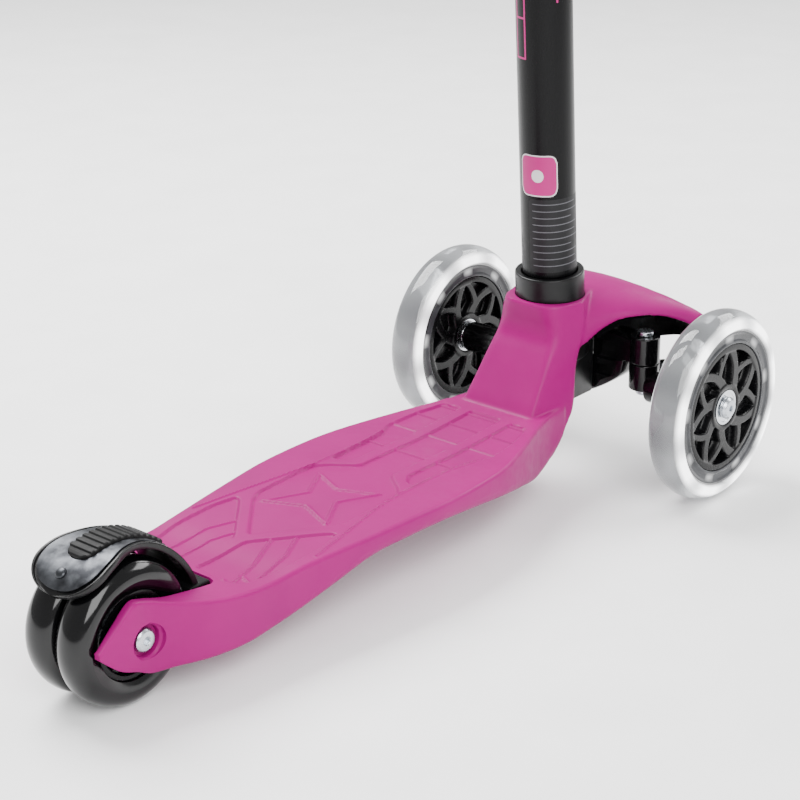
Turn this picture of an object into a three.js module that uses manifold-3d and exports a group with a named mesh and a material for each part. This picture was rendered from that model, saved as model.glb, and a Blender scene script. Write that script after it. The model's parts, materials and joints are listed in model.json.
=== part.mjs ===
// Three-wheeled lean-to-steer kick scooter for a child, with a telescopic handlebar.
// Millimetres, +X to the rider's right, +Y forward, +Z up. The origin is on the
// ground under the middle of the scooter's length and width.

import * as THREE from 'three';
import { mergeVertices } from 'three/addons/utils/BufferGeometryUtils.js';
import Module from 'manifold-3d';

// ---------------------------------------------------------------- driving sizes

// Overall
const wheelbase = 409;
const frontTrack = 203;
const deckHeight = 55;
const gap = 0.3;

// Sides of the circles: wheels, tubes and small turned pieces
const wheelRound = 32;
const mediumRound = 20;
const smallRound = 12;

// Wheels: an outer radius, the tyre's half width and the hub's radius
const frontWheel = { radius: 60, halfWidth: 12, ringRadius: 48.4, hubRadius: 40.2, hubHalf: 9.5 };
const rearWheel = { radius: 40, tyreWidth: 22, tyreGap: 1.5, hubRadius: 24.2 };
const bearing = { outer: 11, bore: 4, width: 7 };
const axleRadius = 3.8;

// Deck and rear fork
const deckHalfWidth = 61;
const armThickness = 6;
const forkSideGap = 1.4;
const deckWall = 4;

// Steering column: a tube that leans back, in a socket at the neck
const columnTilt = THREE.MathUtils.degToRad(3.86);
const tubeRadius = 17;
const tubeWall = 1.8;
const socketWall = 4.2;
const socketDepth = 49.3;
const socketLift = 10;
const lowerTubeTop = 596;
const innerTubeRadius = 14.6;
const innerTubeWall = 1.6;
const innerTubeFoot = 330;
const barHeight = 668;
const barHalfLength = 150;
const barRadius = 11;
const gripLength = 108;
const gripRadius = 15.5;

// Lean and steering gear under the hood
const pivotLift = 16;
const beamSetback = 8;
const neckWall = 1.8;
const pivotPinRadius = 4;
const kingpinInset = 51.5;
const kingpinRadius = 3;
const bossRadius = 9.5;
const steeringArm = 22;
const hoodWall = 3;
const linerWall = 2.2;
const wingClearance = 19.5;

// Rear brake
const brakeGap = 4;
const fenderWall = 2.5;
const plateWall = 1.2;
const padHeight = 2.2;
const hingePinRadius = 2;

// ---------------------------------------------------------------- worked-out sizes

const centreY = (wheelbase + frontWheel.radius - rearWheel.radius) / 2;
const pivotHeight = frontWheel.radius + pivotLift;
const socketRadius = tubeRadius + gap + socketWall;
const socketFloor = pivotHeight + socketLift;
const socketTop = socketFloor + socketDepth;
const neckFront = wheelbase - beamSetback;
const columnFoot = neckFront - neckWall - socketRadius + Math.tan(columnTilt) * socketFloor;
const kingpinX = frontTrack / 2 - kingpinInset;
const wingTip = frontTrack / 2 - frontWheel.halfWidth - wingClearance;
const rearTyreCentre = (rearWheel.tyreWidth + rearWheel.tyreGap) / 2;
const rearHalf = rearTyreCentre + rearWheel.tyreWidth / 2;
const forkInner = rearHalf + forkSideGap;
const forkOuter = forkInner + armThickness;
const fenderInner = rearWheel.radius + brakeGap;
const fenderOuter = fenderInner + fenderWall;
const hinge = { y: rearWheel.radius + 9.5, z: deckHeight - 7.5, eye: 4 };

// ---------------------------------------------------------------- mesh helpers

const wasm = await Module();
wasm.setup();

// Merges shared corners, drops flat triangles and turns every face outwards.
function tidy(geometry) {
  const bare = geometry.index ? geometry.toNonIndexed() : geometry.clone();
  for (const name of Object.keys(bare.attributes)) {
    if (name !== 'position') bare.deleteAttribute(name);
  }
  const merged = mergeVertices(bare, 1e-4);
  const index = merged.index.array;
  const p = merged.attributes.position;
  const kept = [];
  let volume = 0;
  const corners = [new THREE.Vector3(), new THREE.Vector3(), new THREE.Vector3()];
  for (let i = 0; i < index.length; i += 3) {
    const [a, b, c] = [index[i], index[i + 1], index[i + 2]];
    if (a === b || b === c || a === c) continue;
    kept.push(a, b, c);
    corners[0].fromBufferAttribute(p, a);
    corners[1].fromBufferAttribute(p, b);
    corners[2].fromBufferAttribute(p, c);
    volume += corners[0].dot(corners[1].cross(corners[2]));
  }
  if (volume < 0) kept.reverse();
  merged.setIndex(kept);
  return merged;
}

function solid(geometry) {
  const clean = tidy(geometry);
  return new wasm.Manifold(new wasm.Mesh({
    numProp: 3,
    vertProperties: new Float32Array(clean.attributes.position.array),
    triVerts: new Uint32Array(clean.index.array),
  }));
}

function geometryOf(body) {
  const mesh = body.getMesh();
  const geometry = new THREE.BufferGeometry();
  geometry.setAttribute('position', new THREE.BufferAttribute(new Float32Array(mesh.vertProperties), 3));
  geometry.setIndex(new THREE.BufferAttribute(new Uint32Array(mesh.triVerts), 1));
  return geometry;
}

// Joins the first list of geometries and cuts the second list out of them.
function carve(joined, cut = []) {
  let body = solid(joined[0]);
  for (const piece of joined.slice(1)) body = body.add(solid(piece));
  for (const tool of cut) body = body.subtract(solid(tool));
  return geometryOf(body);
}

// Turned shapes: the profile is [radius, height] pairs, and the axis is +Z.
function turned(profile, segments = mediumRound) {
  const points = profile.map(([r, h]) => new THREE.Vector2(r, h));
  return new THREE.LatheGeometry(points, segments).rotateX(Math.PI / 2);
}

function ring(inner, outer, from, to, segments = mediumRound) {
  return turned([[inner, from], [outer, from], [outer, to], [inner, to], [inner, from]], segments);
}

function rod(radius, from, to, segments = smallRound) {
  return turned([[0, from], [radius, from], [radius, to], [0, to]], segments);
}

const alongX = (geometry) => geometry.rotateY(Math.PI / 2);
const alongY = (geometry) => geometry.rotateX(-Math.PI / 2);

function block(x0, x1, y0, y1, z0, z1) {
  const box = new THREE.BoxGeometry(x1 - x0, y1 - y0, z1 - z0);
  return box.translate((x0 + x1) / 2, (y0 + y1) / 2, (z0 + z1) / 2);
}

// Skins a row of equal-length rings of [x, y, z] points and closes both ends. A ring
// that goes out along one edge of a strip and back along the other is closed by a
// ladder of faces; any other ring is triangulated on the two coordinates in flat.
function loft(sections, flat, isStrip = false) {
  const count = sections[0].length;
  const positions = sections.flat(2);
  const index = [];
  for (let s = 0; s + 1 < sections.length; s += 1) {
    for (let i = 0; i < count; i += 1) {
      const j = (i + 1) % count;
      const [a, b, c, d] = [s * count + i, s * count + j, (s + 1) * count + j, (s + 1) * count + i];
      index.push(a, b, c, a, c, d);
    }
  }
  const last = (sections.length - 1) * count;
  const caps = [[sections[0], 0, false], [sections[sections.length - 1], last, true]];
  for (const [section, start, rising] of caps) {
    const outline = section.map((p) => new THREE.Vector2(p[flat[0]], p[flat[1]]));
    const faces = isStrip ? ladder(count) : THREE.ShapeUtils.triangulateShape(outline, []);
    for (const [a, b, c] of faces) {
      const inOrder = (a < b && b < c) || (b < c && c < a) || (c < a && a < b);
      const corners = inOrder === rising ? [a, b, c] : [a, c, b];
      index.push(...corners.map((corner) => start + corner));
    }
  }
  const geometry = new THREE.BufferGeometry();
  geometry.setAttribute('position', new THREE.Float32BufferAttribute(positions, 3));
  geometry.setIndex(index);
  return geometry;
}

function ladder(count) {
  const faces = [];
  for (let i = 0; i + 1 < count / 2; i += 1) {
    const [j, k, l] = [i + 1, count - 2 - i, count - 1 - i];
    faces.push([i, j, k], [i, k, l]);
  }
  return faces;
}

// Extrudes an outline of [x, z] pairs from y0 to y1.
function plateY(outline, y0, y1) {
  return loft([y0, y1].map((y) => outline.map(([x, z]) => [x, y, z])), [0, 2]);
}

// ---------------------------------------------------------------- materials

function finish(hex, roughness, metalness = 0) {
  return new THREE.MeshStandardMaterial({ color: hex, roughness, metalness });
}

const pink = finish(0xf037a5, 0.42);
const blackNylon = finish(0x1b1b1c, 0.5);
const anodised = finish(0x141415, 0.34, 0.5);
const zinc = finish(0xc9ccd0, 0.3, 1);
const stainless = finish(0xb9babc, 0.32, 1);
const rubber = finish(0x18181a, 0.7);
const blackUrethane = finish(0x101012, 0.18);
const clearUrethane = finish(0xe4e8ea, 0.12);
const lightCore = finish(0x8f9396, 0.3);
const bronze = finish(0xa9793f, 0.4, 1);

// ---------------------------------------------------------------- scene graph

const scooter = new THREE.Group();
scooter.position.set(0, -centreY, 0);
const column = new THREE.Group();
column.position.set(0, columnFoot, 0);
column.rotation.set(columnTilt, 0, 0);
scooter.add(column);

function addPart(name, geometry, material, parent = scooter) {
  const mesh = new THREE.Mesh(tidy(geometry), material);
  mesh.name = name;
  parent.add(mesh);
  return mesh;
}

// ---------------------------------------------------------------- deck, neck and hood

// The deck's stations from the fork's tips to the neck: place along Y, height of
// the top, half width at the top edge, bottom of the side band, and the bottom of
// the keel with its half width.
const neckY = columnFoot - 40;
const deckStations = [
  [-26.5, 46, forkOuter - 3, 39, 39, forkOuter - 4],
  [-21, 54, forkOuter - 1.5, 31, 31, forkOuter - 3],
  [-8, 61, forkOuter - 0.3, 24, 24, forkOuter - 2],
  [0, 60.5, forkOuter, 20.5, 20, forkOuter - 1],
  [15, 57.5, deckHalfWidth - 26, 20.5, 20, forkOuter],
  [30, deckHeight - 0.5, deckHalfWidth - 19, 20.5, 20, deckHalfWidth - 27],
  [55, deckHeight - 4, deckHalfWidth - 14, 21, 20, deckHalfWidth - 25],
  [75, deckHeight - 4.5, deckHalfWidth - 12.5, 24, 21, deckHalfWidth - 26],
  [95, deckHeight - 3, deckHalfWidth - 11, 28, 23, deckHalfWidth - 27],
  [118, deckHeight - 2, deckHalfWidth - 8, 35, 25, deckHalfWidth - 28],
  [145, deckHeight - 1, deckHalfWidth - 4.5, 43, 27, deckHalfWidth - 29],
  [173, deckHeight, deckHalfWidth - 1.5, 45, 28, deckHalfWidth - 30],
  [200, deckHeight, deckHalfWidth, 45, 28, deckHalfWidth - 31],
  [231, deckHeight, deckHalfWidth - 1, 42, 27, deckHalfWidth - 31],
  [260, deckHeight - 0.5, deckHalfWidth - 5, 37, 25, deckHalfWidth - 32],
  [290, deckHeight + 0.5, deckHalfWidth - 14, 30, 22, deckHalfWidth - 33],
  [neckY - 22, deckHeight + 2, deckHalfWidth - 25, 24, 17.5, deckHalfWidth - 35],
  [neckY - 4, deckHeight + 3, deckHalfWidth - 28, 30, 21.5, deckHalfWidth - 36],
  [neckY + 4, deckHeight + 4, deckHalfWidth - 29, 34, 25, deckHalfWidth - 37],
];
const edgeRound = 1.6;

function deckSection([y, top, half, side, keel, keelHalf]) {
  const right = [
    [half - edgeRound, top],
    [half, top - edgeRound],
    [half, side],
    [keelHalf, keel],
  ];
  const left = right.map(([x, z]) => [-x, z]).reverse();
  return [...right, ...left].map(([x, z]) => [x, y, z]);
}

const deckBody = loft(deckStations.map((station) => deckSection(station)), [0, 2]);

// The hollow under the footboard, in cells between ribs, open at the bottom.
function deckCells() {
  const cellStart = 66;
  const cellEnd = neckY - 48;
  const ribs = 5;
  const pitch = (cellEnd - cellStart) / ribs;
  const hollowStations = deckStations.filter(([y]) => y >= 55 && y <= neckY - 22);
  const hollow = loft(hollowStations.map((station) => {
    const [y, top, half, side, keel, keelHalf] = station;
    return deckSection([y, top - deckWall, half - deckWall, side, keel - 1, keelHalf - deckWall]);
  }), [0, 2]);
  const cells = [];
  for (let row = 0; row < ribs; row += 1) {
    const y0 = cellStart + row * pitch;
    for (const side of [-1, 1]) {
      const x0 = side < 0 ? -deckHalfWidth : deckWall / 2;
      const x1 = side < 0 ? -deckWall / 2 : deckHalfWidth;
      cells.push(block(x0, x1, y0, y0 + pitch - deckWall, -5, deckHeight + 20));
    }
  }
  return cells.map((cell) => geometryOf(solid(cell).intersect(solid(hollow))));
}

// The neck's level slices: height, then the back, the widest place and the front,
// each measured from the column's axis at that height, then half widths of the flat
// back, at the widest place and at the front. The top hugs the socket.
const neckBack = socketRadius + 2.5;
const neckSlices = [
  [23, -64, -56, -40, 22, 26, 16],
  [31, -69, -41, -25, 25, 31, 20],
  [45, -68, -28, -8, 27, 31, 20],
  [deckHeight + 1, -58, -20, 8, 27, 30.5, 18],
  [deckHeight + 7, -53.5, -17, 18, 26, 30.5, 17],
  [deckHeight + 18, -45.5, -15, 22.6, 24.5, 30, 17],
  [socketFloor, -socketRadius - 14, -12, 23.5, 23.5, 30, 20],
  [socketFloor + 14, -neckBack - 1, -9, 24.3, 21.5, 29, 22],
  [socketFloor + 20, -neckBack, -7, 24.6, 21, 28, 23],
];

function columnY(z) {
  return columnFoot - Math.tan(columnTilt) * z;
}

function neckSlice([z, back, widest, front, flat, half, nose]) {
  const y = columnY(z);
  const y1 = Math.min(y + front, neckFront);
  const right = [
    [flat - 2, y + back],
    [flat + 1, y + back + 1.5],
    [half - 1, y + (back + widest) / 2],
    [half, y + widest],
    [half - 1, y + widest + 4],
    [nose, y1 - 4],
    [nose - 5, y1],
  ];
  const left = right.map(([x, py]) => [-x, py]).reverse();
  return [...right, ...left].map(([x, py]) => [x, py, z]);
}

const neck = loft(neckSlices.map(neckSlice), [0, 1]);

// The hood's ribs from the middle to the wing's tip: place along X, the rear edge's
// y and z, the ridge's y and z, the nose's y and its lowest z. Y is measured from the
// front axle, and Z from the lean pivot. The wings sweep forward and droop.
const hoodRibs = [
  [0, -53, 25, 3, 53.5, 43, -1],
  [14, -50, 24, 3, 52.5, 43, -1],
  [24, -44, 21, 4, 50.5, 42, 0],
  [30, -39, 16, 6, 49.5, 41.5, 1],
  [33, -26, 26.5, 8, 48.5, 41, 2],
  [wingTip - 31, -16, 29.8, 10.5, 47, 40.5, 4],
  [wingTip - 25, -7, 30, 14, 43.5, 40, 6],
  [wingTip - 18, 4, 30, 18.5, 38.5, 39.5, 8],
  [wingTip - 12, 12.5, 25.5, 23, 33.5, 39, 9],
  [wingTip - 7, 19, 18, 28, 28.5, 39, 9],
  [wingTip, 26, 11, 33, 21.5, 39, 7],
];

function hoodCurve([, backY, backZ, ridgeY, ridgeZ, noseY, noseZ]) {
  const curve = [];
  const steps = 5;
  for (let i = 0; i <= steps; i += 1) {
    const a = (Math.PI / 2) * (i / steps);
    const y = ridgeY + (backY - ridgeY) * Math.cos(a) ** 1.25;
    curve.push([y, backZ + (ridgeZ - backZ) * Math.sin(a)]);
  }
  for (let i = 1; i <= steps; i += 1) {
    const a = (Math.PI / 2) * (i / steps);
    const y = ridgeY + (noseY - ridgeY) * Math.sin(a) ** 0.8;
    curve.push([y, noseZ + (ridgeZ - noseZ) * Math.cos(a) ** 0.8]);
  }
  return curve;
}

// A curve of [y, z] points moved inwards, square to itself.
function inset(curve, depth) {
  return curve.map(([y, z], i) => {
    const [y0, z0] = curve[Math.max(i - 1, 0)];
    const [y1, z1] = curve[Math.min(i + 1, curve.length - 1)];
    const length = Math.hypot(y1 - y0, z1 - z0);
    return [y + ((z1 - z0) / length) * depth, z - ((y1 - y0) / length) * depth];
  });
}

// A shell that follows the hood between two depths under its outer face.
function hoodShell(from, to, ribs = hoodRibs) {
  const half = ribs.map((rib) => {
    const curve = hoodCurve(rib);
    const strip = [...inset(curve, from), ...inset(curve, to).reverse()];
    return strip.map(([y, z]) => [rib[0], wheelbase + y, pivotHeight + z]);
  });
  const mirrored = half.slice(1).reverse().map((rib) => rib.map(([x, y, z]) => [-x, y, z]));
  return loft([...mirrored, ...half], [1, 2], true);
}

function onColumn(geometry) {
  return geometry.rotateX(columnTilt).translate(0, columnFoot, 0);
}

const wheelSlot = block(-forkInner, forkInner, -60, hinge.y + 5.5, -10, 90);
const socketBore = onColumn(rod(socketRadius + gap, socketFloor - gap, 220, mediumRound));
const buttonZ = pivotHeight + 28;
const buttonRadius = 8;
const buttonBore = alongY(rod(buttonRadius + gap, wheelbase + 10, wheelbase + 60))
  .translate(0, 0, buttonZ);
const stemBore = alongY(rod(4 + gap, wheelbase - 12, wheelbase + 20)).translate(0, 0, buttonZ);
const pivotBore = alongY(rod(pivotPinRadius + gap, neckFront - 30, wheelbase + 6))
  .translate(0, 0, pivotHeight);
const axleBore = alongX(rod(axleRadius + gap, -60, 60)).translate(0, 0, rearWheel.radius);
const boltRecess = 8.75;
const recessDepth = 4;
const recesses = [-1, 1].map((side) => {
  const from = side < 0 ? -forkOuter - 8 : forkOuter - recessDepth;
  return alongX(rod(boltRecess, from, from + recessDepth + 8)).translate(0, 0, rearWheel.radius);
});
const hingeBore = alongX(rod(hingePinRadius + gap, -forkInner - 5, forkInner + 5))
  .translate(0, hinge.y, hinge.z);

const shellTools = [
  wheelSlot, socketBore, stemBore, buttonBore, pivotBore, axleBore, ...recesses, hingeBore,
  ...deckCells(),
];
addPart('deck_shell', carve([deckBody, neck, hoodShell(0, hoodWall)], shellTools), pink);

// The liner under the hood hangs a flange below the hood's rear edge.
function hoodLiner() {
  const top = hoodWall + gap;
  const shell = solid(hoodShell(top, top + linerWall, hoodRibs.slice(0, -4)));
  const neckRoom = solid(block(-38, 38, wheelbase - 80, neckFront + 1, 20, socketTop));
  const cut = shell.subtract(neckRoom).subtract(solid(socketBore)).subtract(solid(buttonBore));
  return geometryOf(cut);
}
addPart('hood_liner', hoodLiner(), blackNylon);

// ---------------------------------------------------------------- steering socket and column

const socketBoreRadius = tubeRadius + gap;
addPart('steering_socket', turned([
  [12, socketFloor],
  [socketRadius, socketFloor],
  [socketRadius, socketTop - 1.2],
  [socketRadius - 1.2, socketTop],
  [socketBoreRadius + 0.8, socketTop],
  [socketBoreRadius, socketTop - 0.8],
  [socketBoreRadius, socketFloor + 3],
  [12, socketFloor + 3],
  [12, socketFloor],
]), blackNylon, column);

const tubeFoot = socketFloor + 3 + gap;
addPart('lower_tube', ring(tubeRadius - tubeWall, tubeRadius, tubeFoot, lowerTubeTop), anodised, column);
addPart('tube_plug', turned([
  [0, tubeFoot + 0.5],
  [tubeRadius - tubeWall - gap, tubeFoot + 0.5],
  [tubeRadius - tubeWall - gap, tubeFoot + 12],
  [0, tubeFoot + 12],
]), blackNylon, column);

// Clamp at the lower tube's top: a split ring with two ears and a lever.
const clampInner = tubeRadius + gap;
const clampOuter = clampInner + 5;
const clampFrom = lowerTubeTop - 30;
const clampTo = lowerTubeTop + 3;
const clampMid = (clampFrom + clampTo) / 2;
const earY = clampOuter + 5;
const boltRadius = 3;
const clampCollar = carve(
  [
    ring(clampInner, clampOuter, clampFrom, lowerTubeTop - 1),
    ring(innerTubeRadius + gap + 0.2, clampOuter, lowerTubeTop + gap, clampTo),
    ring(tubeRadius + gap, clampOuter, lowerTubeTop - 1, lowerTubeTop + 1),
    block(-11, 11, clampInner + 1.5, earY + 6, clampFrom + 4, lowerTubeTop - 4),
  ],
  [
    block(-1.5, 1.5, 0, 60, clampFrom - 5, clampTo + 5),
    alongX(rod(boltRadius + gap, -40, 40)).translate(0, earY, clampMid),
    rod(clampInner, clampFrom - 5, lowerTubeTop, mediumRound),
  ],
);
addPart('clamp_collar', clampCollar, blackNylon, column);
addPart('clamp_bolt', carve([
  alongX(rod(boltRadius, -15, 17.5)),
  alongX(rod(5.5, -15, -11.3, 6)),
]).translate(0, earY, clampMid), zinc, column);

// The lever turns about the bolt's end and lies round the clamp. Its eye has a slot as
// wide as the bolt over the whole swing.
const leverPivotX = 17;
const leverSwing = 120;
const slotStep = 15;
function leverSlot() {
  const radius = boltRadius + gap + 0.2;
  const centre = rod(radius, -radius, radius);
  const cuts = [centre];
  for (let angle = 0; angle <= leverSwing; angle += slotStep) {
    const cut = alongX(rod(radius, -20, 1.2));
    cuts.push(cut.rotateZ(THREE.MathUtils.degToRad(-angle)));
  }
  return cuts.map((cut) => cut.translate(leverPivotX, earY, clampMid));
}

function clampLever() {
  const eye = rod(5.5, clampMid - 8, clampMid + 8).translate(leverPivotX, earY, 0);
  const inner = clampOuter + 1.5;
  const outer = inner + 4.5;
  const stations = [];
  const steps = 9;
  for (let i = 0; i <= steps; i += 1) {
    const a = THREE.MathUtils.degToRad(54 - 100 * (i / steps));
    const grip = 8 - 2 * (i / steps);
    stations.push([
      [inner * Math.cos(a), inner * Math.sin(a), clampMid - grip],
      [outer * Math.cos(a), outer * Math.sin(a), clampMid - grip],
      [outer * Math.cos(a), outer * Math.sin(a), clampMid + grip],
      [inner * Math.cos(a), inner * Math.sin(a), clampMid + grip],
    ]);
  }
  const arm = sweepBox(stations);
  return carve([eye, arm], leverSlot());
}

// Skins a row of four-cornered sections and closes both ends.
function sweepBox(stations) {
  const index = [];
  for (let s = 0; s + 1 < stations.length; s += 1) {
    for (let i = 0; i < 4; i += 1) {
      const j = (i + 1) % 4;
      const [a, b, c, d] = [s * 4 + i, s * 4 + j, (s + 1) * 4 + j, (s + 1) * 4 + i];
      index.push(a, b, c, a, c, d);
    }
  }
  const last = (stations.length - 1) * 4;
  index.push(0, 2, 1, 0, 3, 2);
  index.push(last, last + 1, last + 2, last, last + 2, last + 3);
  const geometry = new THREE.BufferGeometry();
  geometry.setAttribute('position', new THREE.Float32BufferAttribute(stations.flat(2), 3));
  geometry.setIndex(index);
  return geometry;
}
addPart('clamp_lever', clampLever(), blackNylon, column);

// Telescopic upper bar
addPart('upper_tube', ring(innerTubeRadius - innerTubeWall, innerTubeRadius, innerTubeFoot,
  barHeight - barRadius - 4), zinc, column);
addPart('upper_bush', turned([
  [innerTubeRadius - innerTubeWall - gap - 2, innerTubeFoot - 4],
  [tubeRadius - tubeWall - 0.25, innerTubeFoot - 4],
  [tubeRadius - tubeWall - 0.25, innerTubeFoot - gap],
  [innerTubeRadius - innerTubeWall - gap, innerTubeFoot - gap],
  [innerTubeRadius - innerTubeWall - gap, innerTubeFoot + 14],
  [innerTubeRadius - innerTubeWall - gap - 2, innerTubeFoot + 14],
  [innerTubeRadius - innerTubeWall - gap - 2, innerTubeFoot - 4],
]), blackNylon, column);
const teeRadius = barRadius + 3.5;
const teeHalf = 26;
addPart('tee_joint', carve(
  [
    alongX(turned([[0, -teeHalf], [teeRadius - 1.5, -teeHalf], [teeRadius, -teeHalf + 1.5],
      [teeRadius, teeHalf - 1.5], [teeRadius - 1.5, teeHalf], [0, teeHalf]]))
      .translate(0, 0, barHeight),
    turned([[0, barHeight - 34], [innerTubeRadius + 2.5, barHeight - 34], [innerTubeRadius + 3.5,
      barHeight - 32], [innerTubeRadius + 3.5, barHeight], [0, barHeight]]),
  ],
  [
    alongX(rod(barRadius + gap, -60, 60, mediumRound)).translate(0, 0, barHeight),
    rod(innerTubeRadius + gap, barHeight - 60, barHeight - barRadius - 4 + gap, mediumRound),
  ],
), blackNylon, column);
addPart('crossbar', alongX(ring(barRadius - 1.8, barRadius, -barHalfLength + 3, barHalfLength - 3))
  .translate(0, 0, barHeight), anodised, column);
for (const [name, side] of [['left', -1], ['right', 1]]) {
  const from = barHalfLength - gripLength;
  const grip = turned([
    [barRadius + gap, from],
    [gripRadius + 2, from],
    [gripRadius + 2, from + 3],
    [gripRadius - 1.5, from + 5],
    [gripRadius - 0.5, barHalfLength - 40],
    [gripRadius - 1, barHalfLength - 8],
    [gripRadius, barHalfLength - 5],
    [gripRadius - 1.5, barHalfLength],
    [0, barHalfLength],
    [0, barHalfLength - 2.7],
    [barRadius + gap, barHalfLength - 2.7],
    [barRadius + gap, from],
  ], 20);
  const turnedGrip = alongX(grip);
  if (side < 0) turnedGrip.rotateZ(Math.PI);
  addPart(`grip_${name}`, turnedGrip.translate(0, 0, barHeight), rubber, column);
}

// ---------------------------------------------------------------- release button

const buttonStart = wheelbase - 7;
addPart('release_button', carve([
  alongY(rod(4, buttonStart, wheelbase + 38)),
  alongY(turned([[0, wheelbase + 34], [buttonRadius, wheelbase + 34], [buttonRadius, wheelbase + 45],
    [buttonRadius - 1.5, wheelbase + 47], [0, wheelbase + 47.5]], smallRound)),
]).translate(0, 0, buttonZ), blackNylon);

// ---------------------------------------------------------------- lean beam

const beamBack = neckFront + 1;
const beamFront = wheelbase + 11;
const beamTop = pivotHeight + 17;
const beamSplit = pivotHeight - 0.5;
function frontBeam() {
  const half = [
    [kingpinX, beamSplit],
    [kingpinX - bossRadius - 3, beamSplit],
    [kingpinX - 22, pivotHeight - 10],
    [18, pivotHeight - 16],
    [0, pivotHeight - 17],
  ];
  const crownHalf = 14;
  const outline = [
    ...half,
    ...half.slice(0, -1).reverse().map(([x, z]) => [-x, z]),
    [-kingpinX, beamTop - 3],
    [-crownHalf, beamTop - 1],
    [crownHalf, beamTop - 1],
    [kingpinX, beamTop - 3],
  ];
  const bosses = [-1, 1].map((side) => rod(bossRadius, beamSplit, beamTop)
    .translate(side * kingpinX, wheelbase, 0));
  const bores = [-1, 1].map((side) => rod(kingpinRadius + gap, 20, 120)
    .translate(side * kingpinX, wheelbase, 0));
  const bushBore = alongY(rod(pivotPinRadius + gap + 2.5 + gap, beamBack - 5, beamFront + 5))
    .translate(0, 0, pivotHeight);
  return carve([plateY(outline, beamBack, beamFront), ...bosses], [...bores, bushBore]);
}
addPart('front_beam', frontBeam(), blackNylon);
addPart('lean_bush', alongY(ring(pivotPinRadius + gap, pivotPinRadius + gap + 2.5, beamBack + 0.4,
  beamFront - 0.4, smallRound)).translate(0, 0, pivotHeight), bronze);
addPart('lean_pivot_bolt', alongY(turned([
  [0, neckFront - 29],
  [pivotPinRadius, neckFront - 29],
  [pivotPinRadius, beamFront + gap],
  [7.5, beamFront + gap],
  [7.5, beamFront + 4],
  [6.5, beamFront + 5],
  [0, beamFront + 5],
], smallRound)).translate(0, 0, pivotHeight), zinc);

// Centring springs stand between the beam and the liner.
const springX = 24;
const springSeat = 43;
const springWire = 1.1;
const springRadius = 6;
function centringSpring() {
  const from = beamTop + springWire + 0.6;
  const to = pivotHeight + springSeat - springWire;
  const turns = 4;
  const steps = turns * 8;
  const points = [];
  for (let i = 0; i <= steps; i += 1) {
    const a = (2 * Math.PI * turns * i) / steps;
    points.push(new THREE.Vector3(springRadius * Math.cos(a), springRadius * Math.sin(a),
      from + ((to - from) * i) / steps));
  }
  const section = new THREE.Shape();
  section.absarc(0, 0, springWire, 0, 2 * Math.PI);
  const path = new THREE.CatmullRomCurve3(points);
  return new THREE.ExtrudeGeometry(section, { steps, curveSegments: 2, extrudePath: path });
}
for (const [name, side] of [['left', -1], ['right', 1]]) {
  addPart(`centring_spring_${name}`, centringSpring().translate(side * springX, wheelbase + 2, 0), zinc);
}

// ---------------------------------------------------------------- knuckles, kingpins, tie rod

const knuckleFoot = frontWheel.radius - 2;
const stubRadius = 10;
const stubEnd = frontTrack / 2 - frontWheel.hubHalf - gap;
const armZ = pivotHeight - 12;
function knuckle(side) {
  const stub = alongX(turned([[0, 6], [stubRadius, 6], [stubRadius, stubEnd - kingpinX - 1.5],
    [6, stubEnd - kingpinX - 1.5], [6, stubEnd - kingpinX], [0, stubEnd - kingpinX]], 20));
  if (side < 0) stub.rotateZ(Math.PI);
  stub.translate(0, 0, frontWheel.radius);
  const boss = rod(bossRadius, knuckleFoot, beamSplit - gap);
  const arm = block(-4, 4, 5, steeringArm + 4, armZ - 5, armZ);
  const pin = rod(2, armZ - 3, armZ + 6, 12).translate(0, steeringArm, 0);
  const kingBore = rod(kingpinRadius + gap, 0, 120);
  const axleHole = alongX(rod(axleRadius + gap, 8, 80));
  if (side < 0) axleHole.rotateZ(Math.PI);
  axleHole.translate(0, 0, frontWheel.radius);
  return carve([boss, stub, arm, pin], [kingBore, axleHole]);
}

for (const [name, side] of [['left', -1], ['right', 1]]) {
  const body = addPart(`knuckle_${name}`, knuckle(side), blackNylon);
  body.position.set(side * kingpinX, wheelbase, 0);
  const kingpin = addPart(`kingpin_${name}`, turned([
    [0, knuckleFoot - 4],
    [4.5, knuckleFoot - 4],
    [5, knuckleFoot - 3],
    [5, knuckleFoot - gap],
    [kingpinRadius, knuckleFoot - gap],
    [kingpinRadius, beamTop + gap],
    [5, beamTop + gap],
    [5, beamTop + 3],
    [0, beamTop + 3],
  ], smallRound), zinc);
  kingpin.position.set(side * kingpinX, wheelbase, 0);
}

function tieRod() {
  const eyes = [-1, 1].map((side) => rod(4.6, armZ + 1, armZ + 5)
    .translate(side * kingpinX, wheelbase + steeringArm, 0));
  const holes = [-1, 1].map((side) => rod(2.8, armZ - 5, armZ + 12, 12)
    .translate(side * kingpinX, wheelbase + steeringArm, 0));
  const bar = block(-kingpinX, kingpinX, wheelbase + steeringArm - 2.2, wheelbase + steeringArm + 2.2,
    armZ + 1, armZ + 5);
  return carve([bar, ...eyes], holes);
}
addPart('tie_rod', tieRod(), zinc);

// ---------------------------------------------------------------- front wheels

// Rounded tyre profile: a flat bed on the hub and a crown of the given half width.
function tyreProfile(inner, outer, half) {
  const crown = outer - half * 0.9;
  const profile = [[inner, -half * 0.86], [inner + 2, -half]];
  const steps = 6;
  for (let i = 0; i <= steps; i += 1) {
    const a = -Math.PI / 2 + (Math.PI * i) / steps;
    const r = crown + (outer - crown) * Math.cos(a) ** 0.8;
    profile.push([Math.max(r, inner + 2.5), half * Math.sin(a)]);
  }
  profile.push([inner + 2, half], [inner, half * 0.86], [inner, -half * 0.86]);
  const shortest = 0.05;
  return profile.filter(([r, z], i) => {
    const [r0, z0] = profile[Math.max(i - 1, 0)];
    return i === 0 || Math.hypot(r - r0, z - z0) > shortest;
  });
}

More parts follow.
